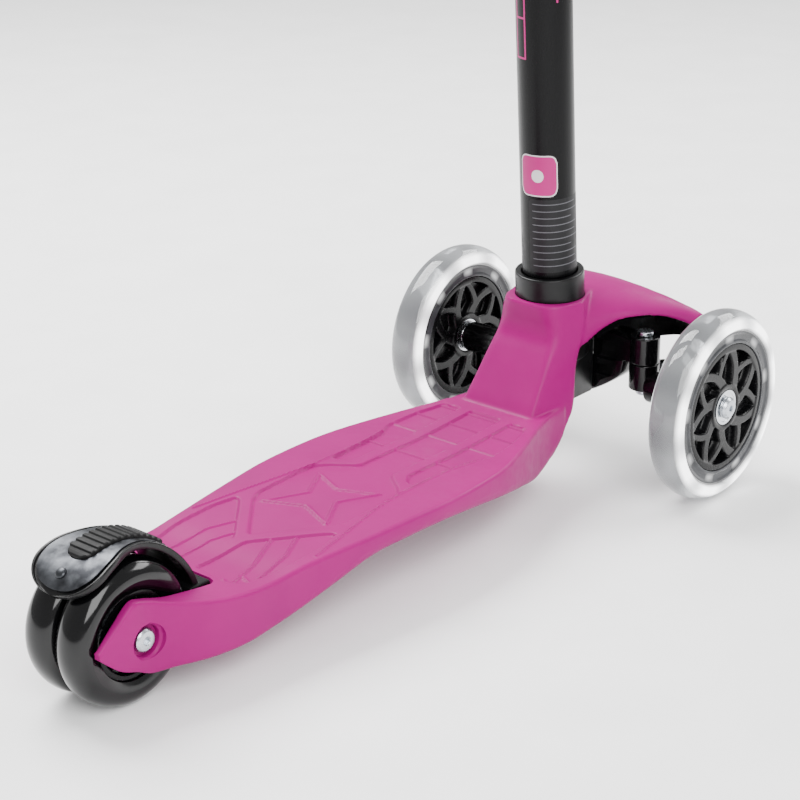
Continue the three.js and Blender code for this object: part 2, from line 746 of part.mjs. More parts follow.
function wheelHub(rim, half, web, bossFace, seat) {
  return turned([
    [bearing.outer + gap, -bossFace],
    [bearing.outer + 4, -bossFace],
    [bearing.outer + 4, -web],
    [rim - 3.4, -web],
    [rim - 3, -half],
    [rim, -half],
    [rim, half],
    [rim - 3, half],
    [rim - 3.4, web],
    [bearing.outer + 4, web],
    [bearing.outer + 4, bossFace],
    [bearing.outer + gap, bossFace],
    [bearing.outer + gap, seat],
    [bearing.outer - 3, seat],
    [bearing.outer - 3, -seat],
    [bearing.outer + gap, -seat],
    [bearing.outer + gap, -bossFace],
  ], wheelRound - 8);
}

for (const [name, side] of [['left', -1], ['right', 1]]) {
  const wheel = new THREE.Group();
  wheel.position.set((side * frontTrack) / 2, wheelbase, frontWheel.radius);
  wheel.rotation.set(0, (side * Math.PI) / 2, 0);
  scooter.add(wheel);
  const seat = frontWheel.hubHalf - bearing.width - 0.5;
  addPart(`front_tyre_${name}`, turned(tyreProfile(frontWheel.ringRadius + gap, frontWheel.radius,
    frontWheel.halfWidth), wheelRound), clearUrethane, wheel);
  addPart(`front_light_ring_${name}`, ring(frontWheel.hubRadius + gap, frontWheel.ringRadius,
    -frontWheel.hubHalf - 0.6, frontWheel.hubHalf + 0.6, wheelRound), lightCore, wheel);
  addPart(`front_hub_${name}`, wheelHub(frontWheel.hubRadius, frontWheel.hubHalf, 3,
    frontWheel.hubHalf, seat), blackNylon, wheel);
  for (const [place, end] of [['inner', -1], ['outer', 1]]) {
    const near = seat + 0.2;
    const [from, to] = end < 0 ? [-near - bearing.width, -near] : [near, near + bearing.width];
    const race = ring(bearing.bore + 0.1, bearing.outer, from, to, smallRound);
    addPart(`front_bearing_${name}_${place}`, race, zinc, wheel);
  }
  addPart(`front_axle_spacer_${name}`, ring(bearing.bore + 0.1, bearing.bore + 2.5, -seat + 0.1,
    seat - 0.1, smallRound), bronze, wheel);
  const head = frontWheel.hubHalf + gap;
  addPart(`front_axle_bolt_${name}`, turned([
    [0, -34],
    [axleRadius, -34],
    [axleRadius, head],
    [6.8, head],
    [6.8, head + 1.6],
    [5.2, head + 3.2],
    [0, head + 3.6],
  ], smallRound), zinc, wheel);
}

// ---------------------------------------------------------------- rear wheel and its axle

const rearAxle = new THREE.Group();
rearAxle.position.set(0, 0, rearWheel.radius);
rearAxle.rotation.set(0, Math.PI / 2, 0);
scooter.add(rearAxle);
const rearHubHalf = rearHalf - 2.5;
const rearSeat = rearHubHalf - bearing.width - 0.5;
const rearWeb = 7;
const rearHub = wheelHub(rearWheel.hubRadius, rearHubHalf, rearWeb, rearHubHalf, rearSeat);
addPart('rear_hub', rearHub, blackNylon, rearAxle);
const rearTyreRound = 24;
for (const [name, side] of [['left', -1], ['right', 1]]) {
  const profile = tyreProfile(rearWheel.hubRadius + gap, rearWheel.radius, rearWheel.tyreWidth / 2);
  const tyre = turned(profile, rearTyreRound);
  addPart(`rear_tyre_${name}`, tyre, blackUrethane, rearAxle).position.z = side * rearTyreCentre;
  const near = rearSeat + 0.2;
  const [from, to] = side < 0 ? [-near - bearing.width, -near] : [near, near + bearing.width];
  const race = ring(bearing.bore + 0.1, bearing.outer, from, to, smallRound);
  addPart(`rear_bearing_${name}`, race, zinc, rearAxle);
  const far = near + bearing.width + gap;
  const [washerFrom, washerTo] = side < 0 ? [-forkInner + gap, -far] : [far, forkInner - gap];
  const washer = ring(bearing.bore + 0.1, bearing.bore + 2.5, washerFrom, washerTo, smallRound);
  addPart(`rear_spacer_${name}`, washer, zinc, rearAxle);
}
const headSeat = forkOuter - recessDepth + gap;
addPart('rear_axle_bolt', turned([
  [0, -headSeat - 5],
  [axleRadius, -headSeat - 5],
  [axleRadius, headSeat],
  [6.5, headSeat],
  [6.5, headSeat + 2.4],
  [5, headSeat + 3.4],
  [0, headSeat + 3.6],
], smallRound), zinc, rearAxle);
addPart('rear_axle_nut', carve([rod(6.6, -headSeat - 3.6, -headSeat, 6)],
  [rod(axleRadius + gap, -headSeat - 10, 0)]), zinc, rearAxle);

// ---------------------------------------------------------------- rear brake

// The brake wraps the wheel from its hinge over the top to a broad tail. Angles are
// measured at the wheel's axle, from forwards to up to backwards.
const brakeFrom = 7;
const brakeTo = 137;
function brakeHalfWidth(angle) {
  const shoulder = 17;
  const waist = 15.5;
  const tail = rearHalf + 1;
  if (angle <= 80) return THREE.MathUtils.lerp(shoulder, waist, (angle - brakeFrom) / (80 - brakeFrom));
  if (angle <= 116) {
    const t = (angle - 80) / 36;
    return waist + (tail - waist) * t * t * (3 - 2 * t);
  }
  const round = (angle - 116) / (brakeTo + 6 - 116);
  return tail * Math.sqrt(1 - round * round);
}

// A curved strip on the brake between two radii, narrower than the brake by trim.
function brakeStrip(fromAngle, toAngle, inner, outerAt, halfAt, steps) {
  const stations = [];
  for (let i = 0; i <= steps; i += 1) {
    const angle = fromAngle + ((toAngle - fromAngle) * i) / steps;
    const a = THREE.MathUtils.degToRad(angle);
    const half = halfAt(angle);
    const outer = outerAt(i, angle);
    const at = (x, r) => [x, r * Math.cos(a), rearWheel.radius + r * Math.sin(a)];
    stations.push([at(-half, inner), at(half, inner), at(half, outer), at(-half, outer)]);
  }
  return sweepBox(stations);
}

const fender = brakeStrip(brakeFrom, brakeTo, fenderInner, () => fenderOuter, brakeHalfWidth, 14);
const hingeEye = alongX(rod(hinge.eye, -17, 17)).translate(0, hinge.y, hinge.z);
const hingeHole = alongX(rod(hingePinRadius + gap, -40, 40, 12)).translate(0, hinge.y, hinge.z);
addPart('brake_fender', carve([fender, hingeEye], [hingeHole]), blackNylon);
addPart('brake_hinge_pin', alongX(rod(hingePinRadius, -forkInner - 4.5, forkInner + 4.5, 12))
  .translate(0, hinge.y, hinge.z), zinc);

const plateInner = fenderOuter + gap;
const plateOuter = plateInner + plateWall;
const plateTrim = 2.4;
const padHalf = 8.5;
const padFrom = 44;
const padTo = 112;
const padSlot = brakeStrip(padFrom - 1, padTo + 1, fenderInner, () => plateOuter + 5,
  () => padHalf + gap, 10);
const plate = brakeStrip(16, brakeTo - 2.5, plateInner, () => plateOuter,
  (angle) => brakeHalfWidth(angle) - plateTrim, 14);
addPart('brake_plate', carve([plate], [padSlot]), stainless);
addPart('brake_pad', brakeStrip(padFrom, padTo, plateInner,
  (i) => plateOuter + (i % 2 ? padHeight : padHeight - 1.1), () => padHalf, 26), rubber);
const rivetAngle = THREE.MathUtils.degToRad(125);
const rivetSeat = plateOuter + gap;
addPart('brake_rivet', turned([[0, 0], [3, 0], [2.6, 0.9], [1.4, 1.5], [0, 1.7]], 12)
  .rotateX(rivetAngle - Math.PI / 2)
  .translate(0, rivetSeat * Math.cos(rivetAngle), rearWheel.radius + rivetSeat * Math.sin(rivetAngle)),
stainless);

export default scooter;
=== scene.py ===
"""Looks of a child's three-wheeled, lean-to-steer kick scooter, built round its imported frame.

Lengths in this file are millimetres and become metres in raw_mesh(). Y runs forward from
the rear axle while a shape is worked out, and raw_mesh() moves it to the frame's origin.
"""

import json
import math

import bmesh
import bpy
import numpy as np
from mathutils import Matrix, Vector

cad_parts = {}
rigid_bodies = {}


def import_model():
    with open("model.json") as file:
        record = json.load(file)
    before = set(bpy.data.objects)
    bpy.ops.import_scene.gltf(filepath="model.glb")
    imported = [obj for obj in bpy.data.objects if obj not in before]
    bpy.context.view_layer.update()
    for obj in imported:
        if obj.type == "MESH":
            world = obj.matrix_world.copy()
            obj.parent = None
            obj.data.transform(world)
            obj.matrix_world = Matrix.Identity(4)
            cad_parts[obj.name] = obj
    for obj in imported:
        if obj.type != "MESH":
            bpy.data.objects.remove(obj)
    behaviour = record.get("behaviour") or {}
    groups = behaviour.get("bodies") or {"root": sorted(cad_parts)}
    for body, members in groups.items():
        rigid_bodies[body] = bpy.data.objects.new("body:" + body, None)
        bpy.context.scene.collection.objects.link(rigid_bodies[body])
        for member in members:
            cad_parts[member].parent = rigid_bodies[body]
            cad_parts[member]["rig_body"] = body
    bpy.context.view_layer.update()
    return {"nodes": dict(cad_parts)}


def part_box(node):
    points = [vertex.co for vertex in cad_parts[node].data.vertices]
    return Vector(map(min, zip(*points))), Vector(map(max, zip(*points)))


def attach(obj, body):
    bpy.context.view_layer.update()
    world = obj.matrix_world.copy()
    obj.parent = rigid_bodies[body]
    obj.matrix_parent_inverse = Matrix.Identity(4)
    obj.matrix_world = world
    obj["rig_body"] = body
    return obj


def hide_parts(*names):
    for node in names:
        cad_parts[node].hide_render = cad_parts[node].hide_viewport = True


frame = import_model()

MM = 0.001


def centre_of(node):
    """Middle of a node's box, in millimetres, with y from the rear axle."""
    low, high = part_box(node)
    return np.array((low + high) / 2) / MM - np.array([0, REAR_AXLE, 0])


REAR_AXLE = (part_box("rear_hub")[0].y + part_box("rear_hub")[1].y) / 2 / MM
REAR_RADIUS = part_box("rear_tyre_left")[1].z / MM / 2
WHEELBASE = centre_of("front_hub_left")[1]
FRONT_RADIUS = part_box("front_tyre_left")[1].z / MM / 2
TRACK_HALF = centre_of("front_hub_right")[0]

ACROSS, AHEAD, UPWARD = (1, 0, 0), (0, 1, 0), (0, 0, 1)
BRAKE_HINGE = (0, 49.5, 47.5)  # middle of the foot brake's hinge pin
PIVOT_Z = FRONT_RADIUS + 16  # height of the bolt that the deck leans on
PIVOT = (0, 0, PIVOT_Z)
BUTTON = (0, 0, 104)  # the latch button slides along y at this height
KINGPIN_X = 50
ROD_Y = 431.0  # y of the tie rod
SOCKET_BORE = 21.9  # radius of the bore for the steering socket
TUBE_RADIUS = 17
FOIL = 0.06  # thickness of printed foil

# ------------------------------------------------------------------ mesh making


def grid_faces(rows, columns, wrap_rows=False, wrap_columns=False):
    """Four-sided faces between neighbours of a grid whose points are numbered row by row."""
    r = np.arange(rows if wrap_rows else rows - 1)[:, None]
    c = np.arange(columns if wrap_columns else columns - 1)[None, :]
    r2, c2 = (r + 1) % rows, (c + 1) % columns
    corners = [r * columns + c, r * columns + c2, r2 * columns + c2, r2 * columns + c]
    return np.stack(corners, -1).reshape(-1, 4)


def raw_mesh(name, points, faces):
    """Mesh object from points in millimetres, y from the rear axle, with faces turned outwards."""
    points = (np.asarray(points, float).reshape(-1, 3) + [0, REAR_AXLE, 0]) * MM
    mesh = bpy.data.meshes.new(name)
    mesh.from_pydata(points.tolist(), [], [list(map(int, f)) for f in faces])
    tidy = bmesh.new()
    tidy.from_mesh(mesh)
    bmesh.ops.remove_doubles(tidy, verts=tidy.verts, dist=1e-6)
    bmesh.ops.recalc_face_normals(tidy, faces=tidy.faces)
    tidy.to_mesh(mesh)
    tidy.free()
    thing = bpy.data.objects.new(name, mesh)
    bpy.context.scene.collection.objects.link(thing)
    return thing


def settle(thing):
    """Applies a piece's modifiers to its mesh."""
    bpy.context.view_layer.update()
    depsgraph = bpy.context.evaluated_depsgraph_get()
    mesh = bpy.data.meshes.new_from_object(thing.evaluated_get(depsgraph))
    thing.modifiers.clear()
    thing.data = mesh
    return thing


def cut(thing, tool, operation="DIFFERENCE"):
    """Cuts or joins a closed tool shape and removes the tool."""
    step = thing.modifiers.new("cut", "BOOLEAN")
    step.operation = operation
    step.solver = "MANIFOLD"
    step.object = tool
    settle(thing)
    bpy.data.objects.remove(tool)
    return thing


def place(thing, material, body, nodes=(), crease=35):
    """Gives a finished piece its material, shading, body and the nodes it stands for."""
    thing.data.materials.clear()
    thing.data.materials.append(material)
    thing.data.shade_smooth()
    thing.data.set_sharp_from_angle(angle=math.radians(crease))
    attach(thing, body)
    if nodes:
        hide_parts(*nodes)
    return thing


def through(stations, at):
    """Smooth curve through rows of (place, values...), read at other places: cubic Hermite
    pieces whose slopes are the mean slopes of the neighbouring rows."""
    table = np.asarray(stations, float)
    place_, value = table[:, 0], table[:, 1:]
    slope = np.gradient(value, place_, axis=0)
    at = np.asarray(at, float)
    k = np.clip(np.searchsorted(place_, at, side="right") - 1, 0, len(place_) - 2)
    span = (place_[k + 1] - place_[k])[..., None]
    f = ((at - place_[k])[..., None]) / span
    return (
        (2 * f**3 - 3 * f**2 + 1) * value[k]
        + (f**3 - 2 * f**2 + f) * span * slope[k]
        + (3 * f**2 - 2 * f**3) * value[k + 1]
        + (f**3 - f**2) * span * slope[k + 1]
    )


def soften(corners, radii, steps=7):
    """Closed outlines (..., corners, 2) whose corners become short quadratic curves that start
    and end one radius from the corner."""
    corners = np.asarray(corners, float)
    radii = np.asarray(radii, float)[..., None]

    def toward(other):
        """Point on the way to a neighbouring corner, one radius off but less than half way."""
        gap = other - corners
        length = np.linalg.norm(gap, axis=-1, keepdims=True)
        return corners + gap * np.minimum(radii / np.maximum(length, 1e-6), 0.48)

    start = toward(np.roll(corners, 1, axis=-2))[..., None, :]
    end = toward(np.roll(corners, -1, axis=-2))[..., None, :]
    f = np.linspace(0, 1, steps)[:, None]
    curve = (1 - f) ** 2 * start + 2 * f * (1 - f) * corners[..., None, :] + f**2 * end
    return curve.reshape(*corners.shape[:-2], -1, 2)


def loft(name, rings):
    """Closed skin over rings of points (rows, columns, 3), with a flat face at each end."""
    rows, columns = rings.shape[:2]
    faces = grid_faces(rows, columns, wrap_columns=True).tolist()
    faces.append(list(range(columns)))
    faces.append(list(range((rows - 1) * columns, rows * columns)))
    return raw_mesh(name, rings, faces)


def frame_of(axis):
    """Three unit vectors: the axis and two square to it."""
    along = np.asarray(axis, float) / np.linalg.norm(axis)
    helper = np.array([0, 0, 1.0]) if abs(along[2]) < 0.9 else np.array([0, 1.0, 0])
    side = np.cross(helper, along)
    side /= np.linalg.norm(side)
    return along, side, np.cross(along, side)


def turned_points(profile, origin, axis, segments):
    """Turned surface: each profile point (radius, height) goes round the axis once."""
    along, side, up = frame_of(axis)
    profile = np.asarray(profile, float)
    a = np.linspace(0, 2 * np.pi, segments, endpoint=False)
    round_ = np.cos(a)[:, None] * side + np.sin(a)[:, None] * up
    return (
        np.asarray(origin, float)
        + profile[:, 1][:, None, None] * along
        + profile[:, 0][:, None, None] * round_[None]
    )


def turned(name, profile, origin, axis, segments=96, corner=0.5, steps=5):
    """Closed turned piece: the profile closes on itself or starts and ends on the axis, its
    corners are softened, and it is carried round the axis."""
    profile = np.asarray(profile, float)
    on_axis = profile[0, 0] == 0 and profile[-1, 0] == 0
    radii = np.full(len(profile), corner)
    if on_axis:
        radii[0] = radii[-1] = 0
    path = soften(profile, radii, steps)
    if on_axis:
        path = path[steps - 1 : -(steps - 1)]
        path[0, 0] = path[-1, 0] = 0
    points = turned_points(path, origin, axis, segments)
    faces = grid_faces(len(path), segments, wrap_rows=not on_axis, wrap_columns=True)
    return raw_mesh(name, points, faces)


def peg(name, radius, low, high, origin, axis, segments=96, corner=0.5):
    """Round bar: one radius from low to high along the axis."""
    profile = [(0, low), (radius, low), (radius, high), (0, high)]
    return turned(name, profile, origin, axis, segments, corner)


def pipe(name, path, radius, sides=20):
    """Round bar carried along a path of points; each ring is square to the path."""
    path = np.asarray(path, float)
    tangent = np.gradient(path, axis=0)
    tangent /= np.linalg.norm(tangent, axis=1, keepdims=True)
    helper = np.array([0.13, 0.05, 1.0])
    side = np.cross(helper, tangent)
    side /= np.linalg.norm(side, axis=1, keepdims=True)
    up = np.cross(tangent, side)
    a = np.linspace(0, 2 * np.pi, sides, endpoint=False)
    ring = np.cos(a)[None, :, None] * side[:, None] + np.sin(a)[None, :, None] * up[:, None]
    radius = np.broadcast_to(np.asarray(radius, float), len(path))[:, None, None]
    return loft(name, path[:, None] + ring * radius)


def block(name, low, high, bevel=1.0):
    """Box with rounded edges: a loft of one softened outline."""
    (x0, y0, z0), (x1, y1, z1) = low, high
    outline = soften([[x0, y0], [x1, y0], [x1, y1], [x0, y1]], np.full(4, bevel), 6)
    heights = np.array([z0, z0 + 0.3 * bevel, z0 + bevel, z1 - bevel, z1 - 0.3 * bevel, z1])
    inset = bevel * np.array([1, 0.3, 0, 0, 0.3, 1])
    middle = np.array([(x0 + x1) / 2, (y0 + y1) / 2])
    half = np.array([(x1 - x0) / 2, (y1 - y0) / 2])
    flat = outline[None] - middle
    rings = middle + flat * (1 - inset[:, None, None] / half)
    heights = np.broadcast_to(heights[:, None, None], rings.shape[:2] + (1,))
    return loft(name, np.concatenate([rings, heights], -1))


def smooth_step(value, low, high):
    """Rises from 0 at low to 1 at high, level at both ends: 3 f squared less 2 f cubed."""
    f = np.clip((value - low) / (high - low), 0, 1)
    return f * f * (3 - 2 * f)


# ------------------------------------------------------------------ materials


def colour(hex_value, alpha=1.0):
    """Linear colour from an sRGB hex value."""
    channels = [int(hex_value[i : i + 2], 16) / 255 for i in (1, 3, 5)]
    linear = [c / 12.92 if c <= 0.04045 else ((c + 0.055) / 1.055) ** 2.4 for c in channels]
    return (*linear, alpha)


class Finish:
    """A node material: add() puts in one node with its settings and links."""

    def __init__(self, name, base, roughness, metallic=0.0, **settings):
        """Starts a Principled material; settings are its sockets by name."""
        self.material = bpy.data.materials.new(name)
        self.material.use_nodes = True
        self.nodes = self.material.node_tree.nodes
        self.links = self.material.node_tree.links
        self.shader = self.nodes["Principled BSDF"]
        self.shader.inputs["Base Color"].default_value = colour(base)
        self.shader.inputs["Roughness"].default_value = roughness
        self.shader.inputs["Metallic"].default_value = metallic
        for key, value in settings.items():
            socket = self.shader.inputs[key.replace("_", " ")]
            socket.default_value = colour(value) if isinstance(value, str) else value
        self.place = self.add("ShaderNodeTexCoord").outputs["Object"]

    def add(self, kind, settings=None, **sockets):
        """One node. A socket is named, or _ and its number; a socket given to it is linked."""
        node = self.nodes.new(kind)
        for key, value in (settings or {}).items():
            setattr(node, key, value)
        for key, value in sockets.items():
            socket = node.inputs[int(key[1:]) if key[0] == "_" else key.replace("_", " ")]
            if isinstance(value, bpy.types.NodeSocket):
                self.links.new(value, socket)
            else:
                socket.default_value = value
        return node

    def feed(self, output, socket):
        """Links an output to a named socket of the shader."""
        self.links.new(output, self.shader.inputs[socket])

    def speckle(self, size_mm, detail=2.0):
        """Noise whose lumps are about size_mm across."""
        return self.add(
            "ShaderNodeTexNoise", Vector=self.place, Scale=1 / (size_mm * MM), Detail=detail
        ).outputs["Fac"]

    def ramp(self, value, low, high, to_low=0.0, to_high=1.0):
        """Straight ramp from one range to another, held at both ends."""
        return self.add(
            "ShaderNodeMapRange", _0=value, _1=low, _2=high, _3=to_low, _4=to_high
        ).outputs[0]

    def blend(self, factor, first, second):
        """Mix of two colours, each a hex value or a socket."""
        pair = [colour(c) if isinstance(c, str) else c for c in (first, second)]
        return self.add(
            "ShaderNodeMix", {"data_type": "RGBA"}, _0=factor, _6=pair[0], _7=pair[1]
        ).outputs[2]

    def bump(self, height, depth_mm, strength=1.0):
        """Feeds a height pattern, depth_mm deep, to the shader's normal."""
        node = self.add(
            "ShaderNodeBump", Height=height, Distance=depth_mm * MM, Strength=strength
        )
        self.feed(node.outputs["Normal"], "Normal")


def moulded(name, base, dark, roughness, grain_mm=0.5, depth_mm=0.02, **settings):
    """Moulded plastic: spark-eroded grain from the tool, drawn coarse enough to show, faint
    flow clouds in the colour, and gloss that wanders a little."""
    f = Finish(name, base, roughness, **settings)
    clouds = f.speckle(38, 3)
    f.feed(f.blend(f.ramp(clouds, 0.35, 0.7), base, dark), "Base Color")
    grain = f.speckle(grain_mm, 2)
    f.feed(f.ramp(f.speckle(6, 2), 0.3, 0.7, roughness - 0.04, roughness + 0.05), "Roughness")
    f.bump(grain, depth_mm, 0.5)
    return f.material


# Glass-filled nylon shell, injection moulded in colour: satin, with soft broad highlights.
pink_shell = moulded(
    "shell_nylon_pink", "#88005E", "#82005A", 0.42, 0.7, 0.02, Specular_IOR_Level=0.12
)
# The same nylon in black: polished mould, mirror-like edges.
black_gloss = moulded(
    "linkage_nylon_black", "#040405", "#070708", 0.15, 1.2, 0.01, Specular_IOR_Level=0.3
)
# Brake shell: black nylon with a soft rubbery skin.
brake_black = moulded(
    "brake_nylon_black", "#060607", "#0B0B0C", 0.30, 1.0, 0.03, Specular_IOR_Level=0.25
)
# Wheel cores: black nylon, a little duller, with mould flow.
hub_nylon = moulded(
    "wheel_core_nylon", "#040405", "#08080A", 0.26, 1.5, 0.02, Specular_IOR_Level=0.2
)
# Satin black nylon of the clamp, tee and socket.
black_satin = moulded(
    "socket_nylon_black", "#050506", "#09090A", 0.33, 0.6, 0.02, Specular_IOR_Level=0.25
)


def anodised_finish(name, base, roughness):
    """Anodised aluminium tube: fine drawing lines along the tube under the dyed oxide."""
    f = Finish(name, base, roughness, 0.0, Specular_IOR_Level=0.14)
    stretch = f.add("ShaderNodeMapping", Vector=f.place, Scale=(2600, 2600, 12))
    noise = f.add("ShaderNodeTexNoise", Vector=stretch.outputs[0], Scale=1.0, Detail=2.0)
    lines = noise.outputs["Fac"]
    f.feed(f.ramp(lines, 0.3, 0.7, roughness - 0.05, roughness + 0.07), "Roughness")
    f.bump(lines, 0.01, 0.4)
    return f


anodised_black = anodised_finish("tube_anodised_black", "#040405", 0.30).material


def metal(name, base, roughness, grain_mm, metallic=1.0):
    """Plated or turned metal: cloudy gloss and fine tool grain."""
    f = Finish(name, base, roughness, metallic)
    f.feed(f.ramp(f.speckle(grain_mm, 3), 0.3, 0.7, roughness - 0.06, roughness + 0.1), "Roughness")
    f.bump(f.speckle(grain_mm * 0.5, 2), 0.01, 0.3)
    return f.material


zinc = metal("screw_zinc_steel", "#B9BEC4", 0.27, 1.5)
bearing_steel = metal("bearing_ring_steel", "#C9CCD0", 0.2, 2.0)
silver = metal("inner_tube_aluminium", "#C4C6C9", 0.3, 1.2)
# Springs: spring wire with a black oxide skin.
spring_steel = metal("spring_black_oxide", "#141415", 0.35, 1.0, 0.6)
bronze = metal("bush_sintered_bronze", "#9C7A4A", 0.4, 0.8)


def stainless_finish():
    """Stainless plate: rolled and tumbled, so its grey goes from dark to pale in soft patches
    of 5 to 15 mm over a fine grain."""
    f = Finish("brake_plate_stainless", "#7D7F82", 0.38, 1.0)
    patches = f.speckle(11, 4)
    f.feed(f.blend(f.ramp(patches, 0.36, 0.66), "#242528", "#54565A"), "Base Color")
    f.feed(f.ramp(f.speckle(7, 3), 0.3, 0.7, 0.28, 0.5), "Roughness")
    f.bump(f.speckle(0.6, 2), 0.02, 0.5)
    return f.material


stainless = stainless_finish()

# Rubber of the foot pad and grips: dull, dusty black with a fine pitted skin.
rubber = moulded("pad_rubber_black", "#080809", "#0E0E0F", 0.62, 0.4, 0.03, Specular_IOR_Level=0.25)
# Cast urethane rear tyre: very glossy crown.
tyre_black = moulded(
    "rear_tyre_urethane", "#030304", "#060607", 0.12, 3.0, 0.01, Specular_IOR_Level=0.35
)


# Painted glow and painted highlights: the glowing spots on the front tyre and light guide repeat nine times a
# turn.
PAINTED_GLOW_WAVES = 2 * math.pi * 9  # nine lights in a turn


def clear_tyre_finish():
    """Clear cast urethane with a painted glow: emission paints a milky bright ring halfway up the side
    wall, brighter in nine pools round the turn, and the outer edge stays clear and greyish. UV v is the radius
    in decimetres."""
    f = Finish("front_tyre_clear_urethane", "#F4F6F8", 0.08, 0.0, IOR=1.5)
    uv = f.add("ShaderNodeUVMap", {"uv_map": "turned"}).outputs[0]
    split = f.add("ShaderNodeSeparateXYZ", Vector=uv)
    radius, turn = split.outputs[1], split.outputs[0]
    rise = f.ramp(radius, 0.486, 0.506)
    fall = f.ramp(radius, 0.545, 0.572, 1.0, 0.0)
    ring = f.add("ShaderNodeMath", {"operation": "MULTIPLY"}, _0=rise, _1=fall).outputs[0]
    wave = f.add("ShaderNodeMath", {"operation": "MULTIPLY"}, _0=turn, _1=PAINTED_GLOW_WAVES).outputs[0]
    beat = f.add("ShaderNodeMath", {"operation": "SINE"}, _0=wave).outputs[0]
    # painted glow: brighter spots nine times round the turn
    painted_glow_spots = f.ramp(beat, -1.0, 0.4, 0.3, 1.0)
    painted_glow = f.add("ShaderNodeMath", {"operation": "MULTIPLY"}, _0=ring, _1=painted_glow_spots).outputs[0]
    # emission paints the bright ring as glow; it stands in for the bright ring seen in the clear tyre
    f.feed(f.ramp(painted_glow, 0, 1, 0.0, 4.5), "Emission Strength")
    f.shader.inputs["Emission Color"].default_value = colour("#FFFFFF")
    clear = f.ramp(radius, 0.545, 0.572)
    f.feed(f.ramp(clear, 0, 1, 0.15, 0.85), "Transmission Weight")
    f.feed(f.blend(clear, f.blend(rise, "#2A2B2E", "#A0A2A5"), "#C6C9CC"), "Base Color")
    return f.material


def light_core_finish():
    """Moulded light guide: grey translucent band with painted highlights: glowing white spots 40 degrees apart
    and a glowing line at the rim.
    """
    f = Finish("light_ring_polycarbonate", "#4A4B4D", 0.24, 0.0, Specular_IOR_Level=0.3)
    uv = f.add("ShaderNodeUVMap", {"uv_map": "turned"}).outputs[0]
    turn = f.add("ShaderNodeSeparateXYZ", Vector=uv).outputs[0]
    wave = f.add("ShaderNodeMath", {"operation": "MULTIPLY"}, _0=turn, _1=PAINTED_GLOW_WAVES).outputs[0]
    beat = f.add("ShaderNodeMath", {"operation": "SINE"}, _0=wave).outputs[0]
    radius = f.add("ShaderNodeSeparateXYZ", Vector=uv).outputs[1]
    # painted highlights: white spots that glow, 40 degrees apart
    near = f.ramp(beat, 0.5, 1.0, 0.0, 0.8)
    rise, fall = f.ramp(radius, 0.415, 0.44), f.ramp(radius, 0.45, 0.475, 1.0, 0.0)
    spot = f.add("ShaderNodeMath", {"operation": "MULTIPLY"}, _0=rise, _1=fall).outputs[0]
    spot = f.add("ShaderNodeMath", {"operation": "MULTIPLY"}, _0=near, _1=spot).outputs[0]
    # painted highlight: a thin glowing line at the rim
    rim = f.ramp(radius, 0.480, 0.484, 0.0, 0.9)
    light = f.add("ShaderNodeMath", {"operation": "ADD"}, _0=spot, _1=rim).outputs[0]
    # emission carries the painted highlights
    f.shader.inputs["Emission Color"].default_value = colour("#FFFFFF")
    f.feed(light, "Emission Strength")
    shade = f.ramp(f.speckle(14, 2), 0.3, 0.7)
    f.feed(f.blend(shade, "#27282A", "#3E3F42"), "Base Color")
    return f.material


clear_urethane = clear_tyre_finish()
light_core = light_core_finish()
# Printed foil on the tube: matt print, one colour each.
badge_pink = moulded(
    "badge_foil_pink", "#A8226E", "#9E1C66", 0.4, 0.5, 0.005, Specular_IOR_Level=0.15
)
badge_white = moulded(
    "badge_foil_white", "#C9C4C7", "#BFBABD", 0.4, 0.5, 0.005, Specular_IOR_Level=0.2
)
label_dark = moulded(
    "label_foil_charcoal", "#0E0E10", "#151517", 0.5, 0.5, 0.005, Specular_IOR_Level=0.25
)
label_grey = moulded(
    "label_rule_grey", "#4E4E52", "#5A5A5E", 0.5, 0.5, 0.005, Specular_IOR_Level=0.2
)

# ------------------------------------------------------------------ footboard

# y, top, half width at the top, lower edge of the side, keel height, keel half width
DECK = [
    (-30, 44.5, 27.6, 40.5, 40.5, 26.6), (-18, 55.5, 29.2, 30, 30, 27.8),
    (-6.5, 64, 30, 25, 25, 28.4), (0, 62.5, 30.15, 22, 21.5, 29.15),
    (15, 57.5, 35, 20.5, 20, 30.15), (30, 54.5, 42, 20.5, 20, 34),
    (55, 51, 47, 21, 20, 36), (75, 50.5, 48.5, 24, 21, 35),
    (95, 52, 50, 28, 23, 34), (118, 53, 53, 35, 25, 33),
    (145, 54, 56.5, 43, 27, 32), (173, 55, 59.5, 45, 28, 31),
    (200, 55, 61, 45, 28, 30), (231, 55, 60, 42, 27, 30),
    (260, 54.5, 56, 37, 25, 29), (290, 55.5, 47, 30, 20, 27.5),
    (321.5, 57, 36, 24, 17.5, 26), (336, 57.5, 32.5, 28, 21, 25.5), (350, 58, 31, 38, 29, 25),
]
PANEL_DEPTH = 1.5
SEAM_Y = 318

# Outlines of the sunken panels on the right half; the middle one is also mirrored in itself.
MIDDLE_PANEL = [
    (0, 103), (28.5, 136), (33, 145), (33, 191), (27, 198), (12, 209), (12, 312.5),
]
REAR_PANEL = [
    (3.4, 60), (3.8, 97), (33.5, 131.5), (38.5, 133.5), (42, 118), (42, 88), (37, 62), (24, 56),
]
SIDE_PANEL = [
    (19.5, 215), (25, 207), (31.5, 205), (32, 230), (34.5, 254), (40, 266), (38, 290),
    (32.5, 311), (19.5, 312),
]
